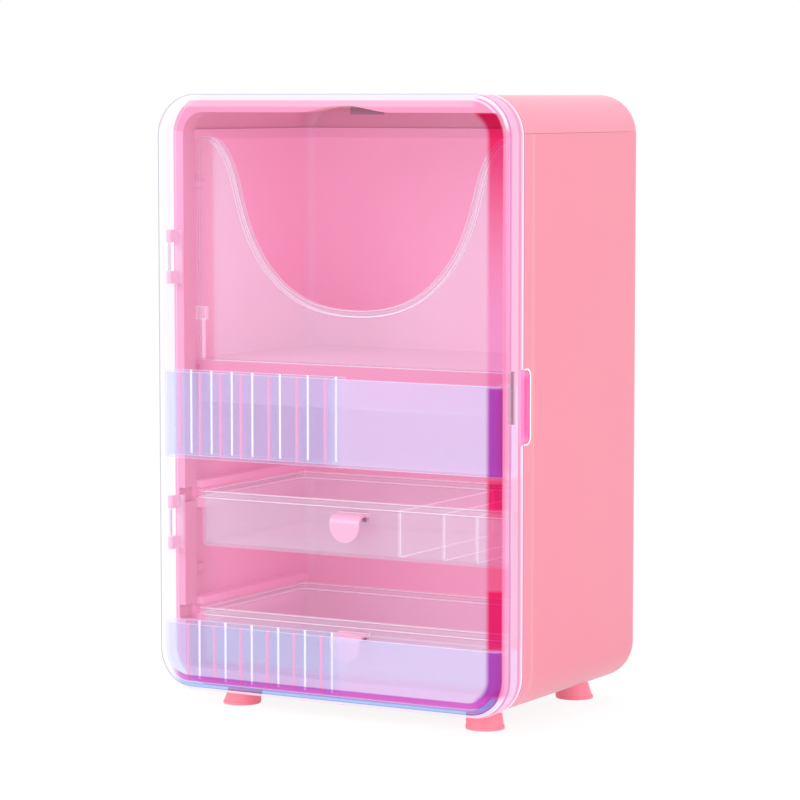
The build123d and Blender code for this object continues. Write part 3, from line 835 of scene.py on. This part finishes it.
    def haze_and_painted_light(self, sheet: Sheet) -> list[tuple[Link, Tint]]:
        """Where the surface itself looks coloured, by its haze and by painted light, in the order that the
        tints are laid.

        Args:
            sheet: The material's sheet.

        Returns:
            Pairs of a mask and its tint.
        """
        inset, tab_inset = self.inset(sheet), self.tab_inset(sheet)
        side, deep, height = (sheet.place(axis) for axis in Axis)
        front, low = self.on_front(sheet), self.on_foot(sheet)
        from_rear = deep - self.rear_y
        right, top = self.right.mask(side), self.top.mask(height)
        tab = self.tab.mask(from_rear)
        tab_face = tab * self.tab_face.mask(side)
        tab_height = self.tab_end.mask(abs(height - self.tab_z))
        outer = self.outer.mask(inset) * right * (1 - tab)
        wall = outer * self.past_shoulder.mask(deep - self.side_y)
        strip = self.strip_height.mask(height) * self.strip_depth.mask(deep)
        turned = sheet.facing().step(*self.outline_turn)
        return [
            # The flat haze is the plastic's own; the tints after it are painted light.
            self.flat.over(inset, front),
            self.pale_edge.over(inset, front, 1 - right),
            self.top_edge.over(inset, front, top),
            self.fillet.over(inset, front, right),
            # Painted highlights on the right fillet's top and bottom corners.
            self.corner_shine.over(inset, front, right, (top + low).smaller(1.0)),
            self.fillet_line.over(inset, front, right, 1 - top, 1 - low),
            # A painted dark line at the shoulder, then a painted highlight on the crest.
            self.shoulder.over(inset, front, right),
            self.crest.over(inset, front, right),
            (wall, self.wall),
            (wall * self.on_bins(sheet), self.wall_at_bin),
            self.mauve_line.over(from_rear, outer),
            self.tab_side.over(from_rear, outer, tab_height),
            # Painted highlight along the rear rim, and painted shadow at its foot where the door meets the
            # body.
            self.rim_line.over(from_rear, outer, 1 - tab_height),
            self.rim_foot.over(from_rear, outer, 1 - tab_height),
            self.strip_window.over(inset, right, strip),
            # Painted shade in the recess seen through the tab, a painted shadow line, and a painted highlight
            # at its rim.
            self.tab_inner.over(tab_inset, tab_face),
            self.tab_line.over(tab_inset, tab_face),
            self.tab_rim.over(tab_inset, tab_face),
            # Painted refraction along the lower edge.
            self.foot_pale.over(inset, front, low),
            self.foot_pink.over(inset, front, low, 1 - right),
            self.outline.over(inset, front, turned, 1 - right, 1 - low),
        ]

    def painted_refraction_films(self, sheet: Sheet) -> list[tuple[Link, Tint]]:
        """Where the turned edge tints what lies behind it as painted refraction, in the order that they are
        laid.

        Args:
            sheet: The material's sheet.

        Returns:
            Pairs of a mask and its film.
        """
        inset, height = self.inset(sheet), sheet.place(Axis.Z)
        front, low, bins = self.on_front(sheet), self.on_foot(sheet), self.on_bins(sheet)
        turn = self.turn_start.mask(inset) * self.turn_end.mask(inset) * self.turn_top.mask(height)
        turn = turn * front * self.film_right.mask(sheet.place(Axis.X))
        deep = self.deep_rise.mask(height)
        for gap, share in self.deep_gaps:
            deep = deep + gap.mask(height) * share
        deep = deep.smaller(1.0)
        return [
            (turn * (1 - deep) * (1 - bins), self.soft_film),
            (turn * deep * (1 - bins), self.deep_film),
            (turn * bins, self.bin_film),
            self.magenta_film.over(inset, front, low),
            self.blue_film.over(inset, front, low),
            self.line_film.over(inset, front, low),
        ]

    def material(self) -> bpy.types.Material:
        """Builds the finish.

        Returns:
            Its material.
        """
        sheet = Sheet(self.name)
        edge = sheet.edge(self.edge_radius, self.edge_gain)
        colour = self.colour(sheet, edge)
        alpha = self.alpha(sheet, edge)
        for mask, tint in self.haze_and_painted_light(sheet):
            colour = sheet.mix(mask, colour, tint.colour)
            alpha = alpha + (tint.density - alpha) * mask
        shader = self.shader(sheet, colour, alpha)
        # Painted refraction: each film tints what lies behind the turned edge.
        for mask, tint in self.painted_refraction_films(sheet):
            film = sheet.node("ShaderNodeBsdfTransparent", {}, {"Color": opaque(tint.colour)})
            shader = sheet.node("ShaderNodeMixShader", {}, {0: mask * tint.density, 1: shader, 2: film})
        return sheet.finish(shader)


@dataclass(frozen=True)
class BinFinish(ClearFinish):
    """The lilac bins: a haze in their front wall, paler and denser past the last divider."""

    front: Span = Span(-88.8, -89.4)
    rear: Span = Span(-76.4, -76.0)
    rear_alpha: float = 0.12
    cells_end: Span = Span(-5.0, 11.0)
    cells: Tint = Tint((0.22, 0.44, 0.74), 0.15)
    open_part: Tint = Tint((0.50, 0.52, 0.78), 0.37)

    def colour(self, sheet: Sheet, edge: Link) -> Link:
        """The haze's colour, bluer over the cells."""
        past = self.cells_end.mask(sheet.place(Axis.X))
        return sheet.mix(edge, sheet.mix(past, self.cells.colour, self.open_part.colour), self.rim)

    def alpha(self, sheet: Sheet, edge: Link) -> Link:
        """How dense the plastic looks, most of all in the front wall.

        Args:
            sheet: The material's sheet.
            edge: The edge mask.

        Returns:
            The density, from 0 to 1.
        """
        past, deep = self.cells_end.mask(sheet.place(Axis.X)), sheet.place(Axis.Y)
        dense = past * (self.open_part.density - self.cells.density) + self.cells.density
        walls = self.front.mask(deep) * dense + self.rear.mask(deep) * (1 - past) * self.rear_alpha
        return (super().alpha(sheet, edge) + walls).smaller(MOST_DENSE)


@dataclass(frozen=True)
class DivideFinish(ClearFinish):
    """Clear thin plates whose cut edges carry a painted highlight along their whole length."""

    face_alpha: float = 0.02
    turned_alpha: float = 0.08
    edge_alpha: float = 0.88


@dataclass(frozen=True)
class BinPlateFinish(DivideFinish):
    """A bin's dividers: a painted rosy reflection where they touch the front wall, and a painted white
    highlight at their rear edge.
    """

    # A painted rosy reflection where the plates touch the front wall.
    rosy: Tint = Tint((0.96, 0.26, 0.40), 0.55, Span(-87.1, -87.9))
    rear_start: Span = Span(-76.6, -76.3)
    rear_end: Span = Span(-76.3, -75.9)
    crispness: float = 3.0

    def ends(self, sheet: Sheet, edge: Link) -> tuple[Link, Link]:
        """Finds the plates' two upright edges.

        Args:
            sheet: The material's sheet.
            edge: The edge mask.

        Returns:
            A strip along the front edge, and the crisp rear one.
        """
        deep = sheet.place(Axis.Y)
        crisp = (edge * self.crispness).smaller(1.0).larger(self.rear_end.mask(deep))
        return self.rosy.span.mask(deep), crisp * self.rear_start.mask(deep)

    def colour(self, sheet: Sheet, edge: Link) -> Link:
        """The haze's colour, with the two edges' painted reflection and highlight."""
        front, rear = self.ends(sheet, edge)
        return sheet.mix(front, super().colour(sheet, rear), self.rosy.colour)

    def alpha(self, sheet: Sheet, edge: Link) -> Link:
        """How dense the plastic looks, most of all at the two edges."""
        front, rear = self.ends(sheet, edge)
        return (super().alpha(sheet, rear) + front * self.rosy.density).smaller(MOST_DENSE)


@dataclass(frozen=True)
class MetalFinish:
    """Turned or brushed metal with fine marks along one axis."""

    name: str
    colour: Colour
    roughness: float = 0.3
    marks: Point = (1.0, 1.0, 0.05)
    marks_scale: float = 2600.0
    marks_share: float = 0.6
    marks_shade: float = 0.72
    marks_dulling: float = 0.15
    marks_depth: float = 0.01 * MM
    marks_strength: float = 0.2

    def material(self) -> bpy.types.Material:
        """Builds the finish.

        Returns:
            Its material.
        """
        sheet = Sheet(self.name)
        marks = sheet.noise(self.marks_scale, 4.0, self.marks)
        dull = tuple(self.marks_shade * part for part in self.colour)
        return sheet.finish(sheet.node("ShaderNodeBsdfPrincipled", {}, {
            "Base Color": sheet.mix(marks * self.marks_share, self.colour, dull),
            "Metallic": 1.0,
            "Roughness": self.roughness + (marks - 0.5) * self.marks_dulling,
            "Normal": sheet.bump(marks, self.marks_depth, self.marks_strength),
        }))


# glow paints light: these plastics glow though they are no lamp. The inside, face, mouth and apron colours
# are painted light and shade, and INNER_PINK and SHELF_PINK paint the parts inside in a lighter, pinker copy
# of the pink as painted light.
PINK = ShellFinish("cabinet_pink", (0.97, 0.290, 0.395), (0.96, 0.275, 0.380))
LID_PINK = FrameFinish("lid_pink", (0.97, 0.325, 0.430), (0.96, 0.310, 0.415), seam_highlight_share=0.0, glow=0.0,
                       inside_painted_colour=(0.84, 0.34, 0.46), face_painted_colour=(0.93, 0.27, 0.49))
FRAME_PINK = FrameFinish("frame_pink", (0.97, 0.300, 0.410), (0.96, 0.285, 0.395), glow=0.03,
                         inside_painted_colour=(0.84, 0.36, 0.52))
INNER_PINK = MouldedFinish("inner_pink", (0.98, 0.45, 0.67), (0.96, 0.43, 0.65), roughness=0.42, glow=0.08)
SHELF_PINK = ShelfFinish("shelf_pink", (0.98, 0.45, 0.67), (0.96, 0.43, 0.65), roughness=0.42, glow=0.05)
# The feet's glow is painted light; they are no lamp.
FOOT_PINK = FootFinish("foot_pink", (0.98, 0.300, 0.400), (0.98, 0.230, 0.330), roughness=0.5, coat=0.0,
                       glow=0.25)
PULL_PINK = MouldedFinish("pull_pink", (0.97, 0.50, 0.70), (0.95, 0.42, 0.62), roughness=0.25)
HINGE_PINK = MouldedFinish("hinge_pink", (0.98, 0.58, 0.78), (0.96, 0.52, 0.72), roughness=0.3)
CATCH_PINK = MouldedFinish("catch_pink", (0.80, 0.42, 0.62), (0.76, 0.38, 0.58), roughness=0.4)
BLOCK_GREY = MouldedFinish("block_grey", (0.32, 0.08, 0.14), (0.27, 0.07, 0.12), roughness=0.5, coat=0.0)
# Every clear finish paints a glow, and an edge highlight in its rim colour.
DOOR_CLEAR = DoorFinish("door_clear")
PANEL_CLEAR = PanelFinish("panel_clear", haze=(0.60, 0.66, 0.78), face_alpha=0.17, turned_alpha=0.35,
                          edge_alpha=0.50)
DRAWER_CLEAR = OutlinedFinish("drawer_clear", haze=(0.52, 0.62, 0.72), face_alpha=0.15, turned_alpha=0.30,
                              edge_alpha=0.65)
CLIP_CLEAR = ClearFinish("clip_clear", face_alpha=0.18, turned_alpha=0.45)
PLATE_CLEAR = DivideFinish("plate_clear", face_alpha=0.05, turned_alpha=0.20, edge_radius=1.0 * MM,
                           edge_gain=9.0)
BIN_LILAC = BinFinish("bin_lilac", rim=(0.80, 0.84, 1.0), face_alpha=0.03, turned_alpha=0.22,
                      edge_alpha=0.5)
BIN_PLATE = BinPlateFinish("bin_plate", haze=(0.36, 0.46, 0.72), rim=WHITE, face_alpha=0.09,
                           turned_alpha=0.16)
STEEL = MetalFinish("steel", (0.70, 0.70, 0.72))
STRIP_STEEL = MetalFinish("strip_steel", (0.44, 0.42, 0.48), roughness=0.42)
SCREW_DARK = MetalFinish("screw_dark", (0.22, 0.17, 0.21), roughness=0.35, marks=(1.0, 1.0, 1.0))

Finish = Union[MouldedFinish, ClearFinish, MetalFinish]


def put_in_scene(name: str, data: bpy.types.ID) -> bpy.types.Object:
    """Makes an object of its data and links it to the scene.

    Args:
        name: The object's name.
        data: Its mesh, lamp or camera.

    Returns:
        The object.
    """
    made = bpy.data.objects.new(name, data)
    bpy.context.scene.collection.objects.link(made)
    return made


class Piece:
    """Helpers that every sub-assembly uses to dress CAD nodes and to add its own pieces."""

    made: dict[str, bpy.types.Material] = {}

    @classmethod
    def material(cls, finish: Finish) -> bpy.types.Material:
        """Gives the finish's material, which is made once.

        Args:
            finish: The finish.

        Returns:
            Its material.
        """
        if finish.name not in cls.made:
            cls.made[finish.name] = finish.material()
        return cls.made[finish.name]

    @classmethod
    def dress(cls, finish: Finish, *names: str) -> None:
        """Gives CAD nodes a finish.

        Args:
            finish: The finish.
            names: The nodes' names.
        """
        for name in names:
            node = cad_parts[name]
            node.data.materials.clear()
            node.data.materials.append(cls.material(finish))
            if isinstance(finish, ClearFinish):
                node.visible_shadow = False
                node.visible_diffuse = False
            log.info("%s wears %s", name, finish.name)

    @classmethod
    def add(cls, name: str, mesh: bmesh.types.BMesh, finish: Finish, body: Body,
            slot: str) -> bpy.types.Object:
        """Makes an object of a built mesh, dresses it and puts it on its body.

        Args:
            name: The piece's name.
            mesh: The built mesh, which is freed.
            finish: Its finish.
            body: The body that it rides on.
            slot: Not used.

        Returns:
            The new piece.
        """
        bmesh.ops.recalc_face_normals(mesh, faces=mesh.faces)
        data = bpy.data.meshes.new(name)
        mesh.to_mesh(data)
        mesh.free()
        data.materials.append(cls.material(finish))
        data.shade_smooth()
        data.set_sharp_from_angle(angle=SHARP_ANGLE)
        piece = put_in_scene(name, data)
        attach(piece, body.value)
        log.info("%s: %d faces on %s", name, len(data.polygons), body.value)
        return piece


@dataclass
class Screw:
    """A pan-head screw with a cross recess, turned about its own axis."""

    shank_radius: float
    head_radius: float
    head_height: float
    length: float
    steps: int = 40
    crown: tuple[tuple[float, float], ...] = ((0.30, 0.98), (0.62, 0.90), (0.86, 0.68), (0.97, 0.36),
                                              (1.0, 0.12), (0.99, 0.0))
    pitch_share: float = 0.55
    core_share: float = 0.80
    tip_share: float = 0.6
    tip_radius: float = 0.02 * MM
    cross_reach: float = 0.97
    cross_width: float = 0.24 / 0.62
    cross_depth: float = 0.55
    cross_sharpness: int = 6
    centre_depth: float = 0.6

    def profile(self) -> list[tuple[float, float]]:
        """The screw's outline, from the crown to the tip, which lies below zero.

        Returns:
            Pairs of a radius and a height.
        """
        crown = [(self.head_radius * share, self.head_height * rise) for share, rise in self.crown]
        pitch = self.shank_radius * self.pitch_share
        threads = [(self.shank_radius, 0.0)]
        depth = -pitch
        while depth > pitch * 2.0 - self.length:
            threads += [(self.shank_radius * self.core_share, depth), (self.shank_radius, depth - pitch / 2)]
            depth -= pitch
        tip = [(self.shank_radius * self.tip_share, pitch - self.length), (self.tip_radius, -self.length)]
        return crown + threads + tip

    def ring(self, mesh: bmesh.types.BMesh, matrix: Matrix,
             shape: Callable[[float], tuple[float, float]]) -> list[bmesh.types.BMVert]:
        """Adds one ring of vertices round the axis.

        Args:
            mesh: The mesh to add to.
            matrix: The screw's place.
            shape: Gives the ring's radius and height at an angle.

        Returns:
            The ring's vertices.
        """
        made = []
        for index in range(self.steps):
            angle = 2 * math.pi * index / self.steps
            radius, height = shape(angle)
            spot = Vector((radius * math.cos(angle), radius * math.sin(angle), height))
            made.append(mesh.verts.new(matrix @ spot))
        return made

    def build(self, mesh: bmesh.types.BMesh, seat: Point, way: Point, spin: float = 0.5) -> None:
        """Adds the screw to a mesh.

        Args:
            mesh: The mesh to add to.
            seat: The centre of the head's flat underside.
            way: The way that the head points.
            spin: The turn of the cross about the axis, in radians.
        """
        turn = Vector(way).to_track_quat("Z", "Y").to_matrix().to_4x4()
        matrix = Matrix.Translation(seat) @ turn @ Matrix.Rotation(spin, 4, "Z")
        rings = [self.ring(mesh, matrix, lambda angle, spot=spot: spot) for spot in self.profile()]
        for upper, lower in zip(rings, rings[1:]):
            for index in range(self.steps):
                after = (index + 1) % self.steps
                mesh.faces.new((upper[index], upper[after], lower[after], lower[index]))
        mesh.faces.new(list(reversed(rings[-1])))
        self.recess(mesh, matrix, rings[0])

    def recess(self, mesh: bmesh.types.BMesh, matrix: Matrix, rim: Sequence[bmesh.types.BMVert]) -> None:
        """Closes the crown with a sunk cross inside its first ring.

        Args:
            mesh: The mesh to add to.
            matrix: The screw's place.
            rim: The crown's first ring of vertices.
        """
        rim_share, rim_rise = self.crown[0]
        reach = self.head_radius * rim_share * self.cross_reach
        width = reach * self.cross_width
        top = self.head_height * rim_rise

        def cross(angle: float) -> tuple[float, float]:
            """The cross's line.

            Args:
                angle: The angle about the axis.

            Returns:
                The radius and the height there.
            """
            along = abs(math.cos(2 * angle))
            return (width + (reach - width) * along ** self.cross_sharpness,
                    top - self.head_height * self.cross_depth * along ** 2)

        inner = self.ring(mesh, matrix, cross)
        for index in range(self.steps):
            after = (index + 1) % self.steps
            mesh.faces.new((rim[after], rim[index], inner[index], inner[after]))
        centre = mesh.verts.new(matrix @ Vector((0.0, 0.0, top - self.head_height * self.centre_depth)))
        for index in range(self.steps):
            mesh.faces.new((inner[(index + 1) % self.steps], inner[index], centre))


@dataclass
class LidLip(Piece):
    """The thin lip inside the shell's upper edge, which the lid closes over and which stops the light."""

    half_width: float = 121.0 * MM
    front_y: float = -57.0 * MM
    rear_y: float = 86.4 * MM
    corner: float = 9.0 * MM
    heights: tuple[float, float, float] = (357.4 * MM, 362.3 * MM, 363.8 * MM)
    gaps: tuple[float, float, float] = (0.02 * MM, 0.10 * MM, 0.55 * MM)
    thickness: float = 0.9 * MM
    top_share: float = 0.6
    steps: int = 10

    def outline(self, gap: float) -> list[tuple[float, float]]:
        """The lip's outer line in plan, from front left round the rear to front right.

        Args:
            gap: How far it stands off the wall.

        Returns:
            Its points.
        """
        half = self.half_width - gap
        rear = self.rear_y - gap
        radius = self.corner - gap
        turn = []
        for index in range(self.steps + 1):
            angle = math.pi / 2 * index / self.steps
            turn.append((half - radius + radius * math.cos(angle), rear - radius + radius * math.sin(angle)))
        right = [(half, self.front_y)] + turn
        return [(-x, y) for x, y in right] + list(reversed(right))

    def build(self) -> None:
        """Builds the lip as one thin bent strip."""
        low, middle, high = self.heights
        low_gap, middle_gap, high_gap = self.gaps
        inner = self.thickness
        levels = ((low_gap, low), (middle_gap, middle), (high_gap, high),
                  (high_gap + inner * self.top_share, high), (middle_gap + inner, middle),
                  (low_gap + inner, low))
        mesh = bmesh.new()
        rows = [[mesh.verts.new((x, y, height)) for x, y in self.outline(gap)] for gap, height in levels]
        for row, following in zip(rows, rows[1:] + rows[:1]):
            for first, second, third, fourth in zip(row, row[1:], following[1:], following):
                mesh.faces.new((first, second, third, fourth))
        for end in (0, -1):
            mesh.faces.new([row[end] for row in rows])
        self.add("lid_lip", mesh, INNER_PINK, Body.CABINET, "cabinet_pink")


@dataclass
class Cabinet(Piece):
    """The fixed cabinet: its shell, front frame, shelf, scoop panel, runners, feet and hardware."""

    finishes: tuple[tuple[Finish, tuple[str, ...]], ...] = (
        (PINK, ("main_shell",)),
        (FRAME_PINK, ("front_frame",)),
        (INNER_PINK, ("upper_left_runner", "upper_right_runner", "lower_left_runner", "lower_right_runner")),
        (SHELF_PINK, ("shelf",)),
        (PANEL_CLEAR, ("scoop_panel",)),
        (CLIP_CLEAR, ("left_panel_clip", "right_panel_clip")),
        (FOOT_PINK, ("front_left_foot", "front_right_foot", "rear_left_foot", "rear_right_foot")),
        (HINGE_PINK, ("upper_hinge_bracket", "lower_hinge_bracket")),
        (LID_PINK, ("left_lid_hinge_leaf", "right_lid_hinge_leaf")),
        (STEEL, ("upper_hinge_pin", "lower_hinge_pin", "lid_hinge_pins", "frame_screws", "foot_screws")),
        (CATCH_PINK, ("latch_magnet",)),
    )
    stile_screw: Screw = field(default_factory=lambda: Screw(1.2 * MM, 2.3 * MM, 1.6 * MM, 19.0 * MM))
    stile_x: float = 118.4 * MM
    stile_seat_y: float = -47.6 * MM
    stile_heights: tuple[float, ...] = (85.0 * MM, 330.0 * MM)
    first_spin: float = 0.4
    side_spin: float = 0.9
    spin_per_metre: float = 7.0
    lip: LidLip = field(default_factory=LidLip)

    def build_stile_screws(self) -> None:
        """Builds the four screws that hold the front frame to the shell."""
        mesh = bmesh.new()
        for side in (-1, 1):
            for height in self.stile_heights:
                seat = (side * self.stile_x, self.stile_seat_y, height)
                spin = self.first_spin + self.side_spin * side + height * self.spin_per_metre
                self.stile_screw.build(mesh, seat, (0.0, 1.0, 0.0), spin)
        piece = self.add("stile_screws", mesh, STEEL, Body.CABINET, "steel")
        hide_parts("frame_screws")

    def build(self) -> None:
        """Dresses the cabinet and adds its screws and the lip."""
        for finish, names in self.finishes:
            self.dress(finish, *names)
        self.build_stile_screws()
        self.lip.build()


@dataclass
class Door(Piece):
    """The clear door, its two lilac bins with their dividers, and the latch strip."""

    def build(self) -> None:
        """Dresses the door."""
        self.dress(DOOR_CLEAR, "door_shell")
        self.dress(BIN_LILAC, "upper_bin", "lower_bin")
        self.dress(BIN_PLATE, "upper_bin_dividers", "lower_bin_dividers")
        self.dress(STRIP_STEEL, "latch_plate")


@dataclass
class Lid(Piece):
    """The lid's cap and the dark block under it."""

    def build(self) -> None:
        """Dresses the lid."""
        self.dress(LID_PINK, "lid_cap")
        self.dress(BLOCK_GREY, "lid_catch_block")


@dataclass
class Drawer(Piece):
    """One clear drawer with its pull and the small screw beside it."""

    level: str
    body: Body
    screw: Screw = field(default_factory=lambda: Screw(0.8 * MM, 1.5 * MM, 0.9 * MM, 3.8 * MM))

    def build(self) -> None:
        """Dresses the drawer and turns its screw."""
        self.dress(DRAWER_CLEAR, self.level + "_drawer_tray")
        self.dress(PULL_PINK, self.level + "_pull")
        self.dress(SCREW_DARK, self.level + "_pull_screw")
        low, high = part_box(self.level + "_pull_screw")
        seat = ((low[0] + high[0]) / 2, low[1] + self.screw.head_height, (low[2] + high[2]) / 2)
        mesh = bmesh.new()
        self.screw.build(mesh, seat, (0.0, -1.0, 0.0))
        piece = self.add(self.level + "_pull_fixing", mesh, SCREW_DARK, self.body, "dark_screw")
        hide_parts(self.level + "_pull_screw")


@dataclass
class UpperDrawer(Drawer):
    """The upper drawer, which also has three dividers."""

    def build(self) -> None:
        """Dresses the drawer and its dividers."""
        super().build()
        self.dress(PLATE_CLEAR, "upper_drawer_dividers")


@dataclass
class Lamp:
    """One soft square lamp that points at the case."""

    name: str
    place: Point
    size: float
    power: float
    aim: Point = (0.0, 0.0, 0.19)

    def build(self) -> None:
        """Hangs the lamp."""
        data = bpy.data.lights.new(self.name, "AREA")
        data.size = self.size
        data.energy = self.power
        lamp = put_in_scene(self.name, data)
        lamp.location = self.place
        lamp.rotation_euler = (Vector(self.aim) - Vector(self.place)).to_track_quat("-Z", "Y").to_euler()
        log.info("lamp %s at %.1f W", self.name, self.power)


@dataclass
class Studio:
    """The camera, the lamps, the white surroundings and the pale floor."""

    camera_place: Point = (1.0388, -1.81928, 0.38448)
    camera_tilt: float = 84.789
    camera_turn: float = 29.738
    lens: float = 149.733
    sensor_width: float = 36.0
    clip_end: float = 40.0
    floor_half: float = 6.0
    floor_paint: Colour = (0.90, 0.90, 0.90)
    floor_glow: float = 1.06
    floor_glow_share: float = 0.85
    soft_light: float = 0.70
    clear_layers: int = 40
    lamps: tuple[Lamp, ...] = (
        Lamp("front_left", (-1.1, -1.7, 1.3), 1.2, 14.0),
        Lamp("right", (2.0, -0.5, 0.9), 1.2, 8.5),
        Lamp("top", (0.1, 0.1, 1.9), 1.2, 9.0),
    )

    def build_camera(self) -> None:
        """Sets the camera where the photograph was taken from."""
        data = bpy.data.cameras.new("photo_camera")
        data.lens = self.lens
        data.sensor_width = self.sensor_width
        data.clip_end = self.clip_end
        camera = put_in_scene("photo_camera", data)
        camera.location = self.camera_place
        camera.rotation_euler = (math.radians(self.camera_tilt), 0.0, math.radians(self.camera_turn))
        bpy.context.scene.camera = camera

    def build_world(self) -> None:
        """White to the eye and in reflections, and a plain soft light on the case."""
        sheet = Sheet("white_studio", of_world=True)
        level = sheet.seen() * (1 - self.soft_light) + self.soft_light
        light = sheet.node("ShaderNodeBackground", {}, {"Color": opaque(WHITE), "Strength": level})
        bpy.context.scene.world = sheet.finish(light)

    def build_floor(self) -> None:
        """A pale floor that is white to the eye but keeps the case's shadow."""
        mesh = bmesh.new()
        corners = ((-1, -1), (1, -1), (1, 1), (-1, 1))
        mesh.faces.new([mesh.verts.new((x * self.floor_half, y * self.floor_half, 0.0)) for x, y in corners])
        data = bpy.data.meshes.new("studio_floor")
        mesh.to_mesh(data)
        mesh.free()
        sheet = Sheet("floor_white")
        paint = sheet.node("ShaderNodeBsdfDiffuse", {}, {"Color": opaque(self.floor_paint)})
        glow = sheet.node("ShaderNodeEmission", {}, {"Color": opaque(WHITE), "Strength": self.floor_glow})
        share = sheet.seen() * self.floor_glow_share
        shader = sheet.node("ShaderNodeMixShader", {}, {0: share, 1: paint, 2: glow})
        data.materials.append(sheet.finish(shader))
        floor = put_in_scene("studio_floor", data)
        floor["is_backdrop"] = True

    def build(self) -> None:
        """Builds the studio."""
        bpy.context.scene.view_settings.view_transform = "Standard"
        bpy.context.scene.cycles.transparent_max_bounces = self.clear_layers
        self.build_camera()
        self.build_world()
        self.build_floor()
        for lamp in self.lamps:
            lamp.build()


def corners(box: Sequence[Sequence[float]]) -> list[list[float]]:
    """A box as plain lists of numbers."""
    return [[float(part) for part in corner] for corner in box]


def main() -> None:
    """Builds the studio and dresses the case, part by part."""
    logging.basicConfig(level=logging.INFO, format="%(name)s: %(message)s")
    sizes = {"cad": corners(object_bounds())}
    Studio().build()
    assemblies = (Cabinet(), Door(), Lid(), UpperDrawer("upper", Body.UPPER_DRAWER),
                  Drawer("lower", Body.LOWER_DRAWER))
    for assembly in assemblies:
        assembly.build()
    sizes["visual"] = corners(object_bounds())


if __name__ == "__main__":
    main()
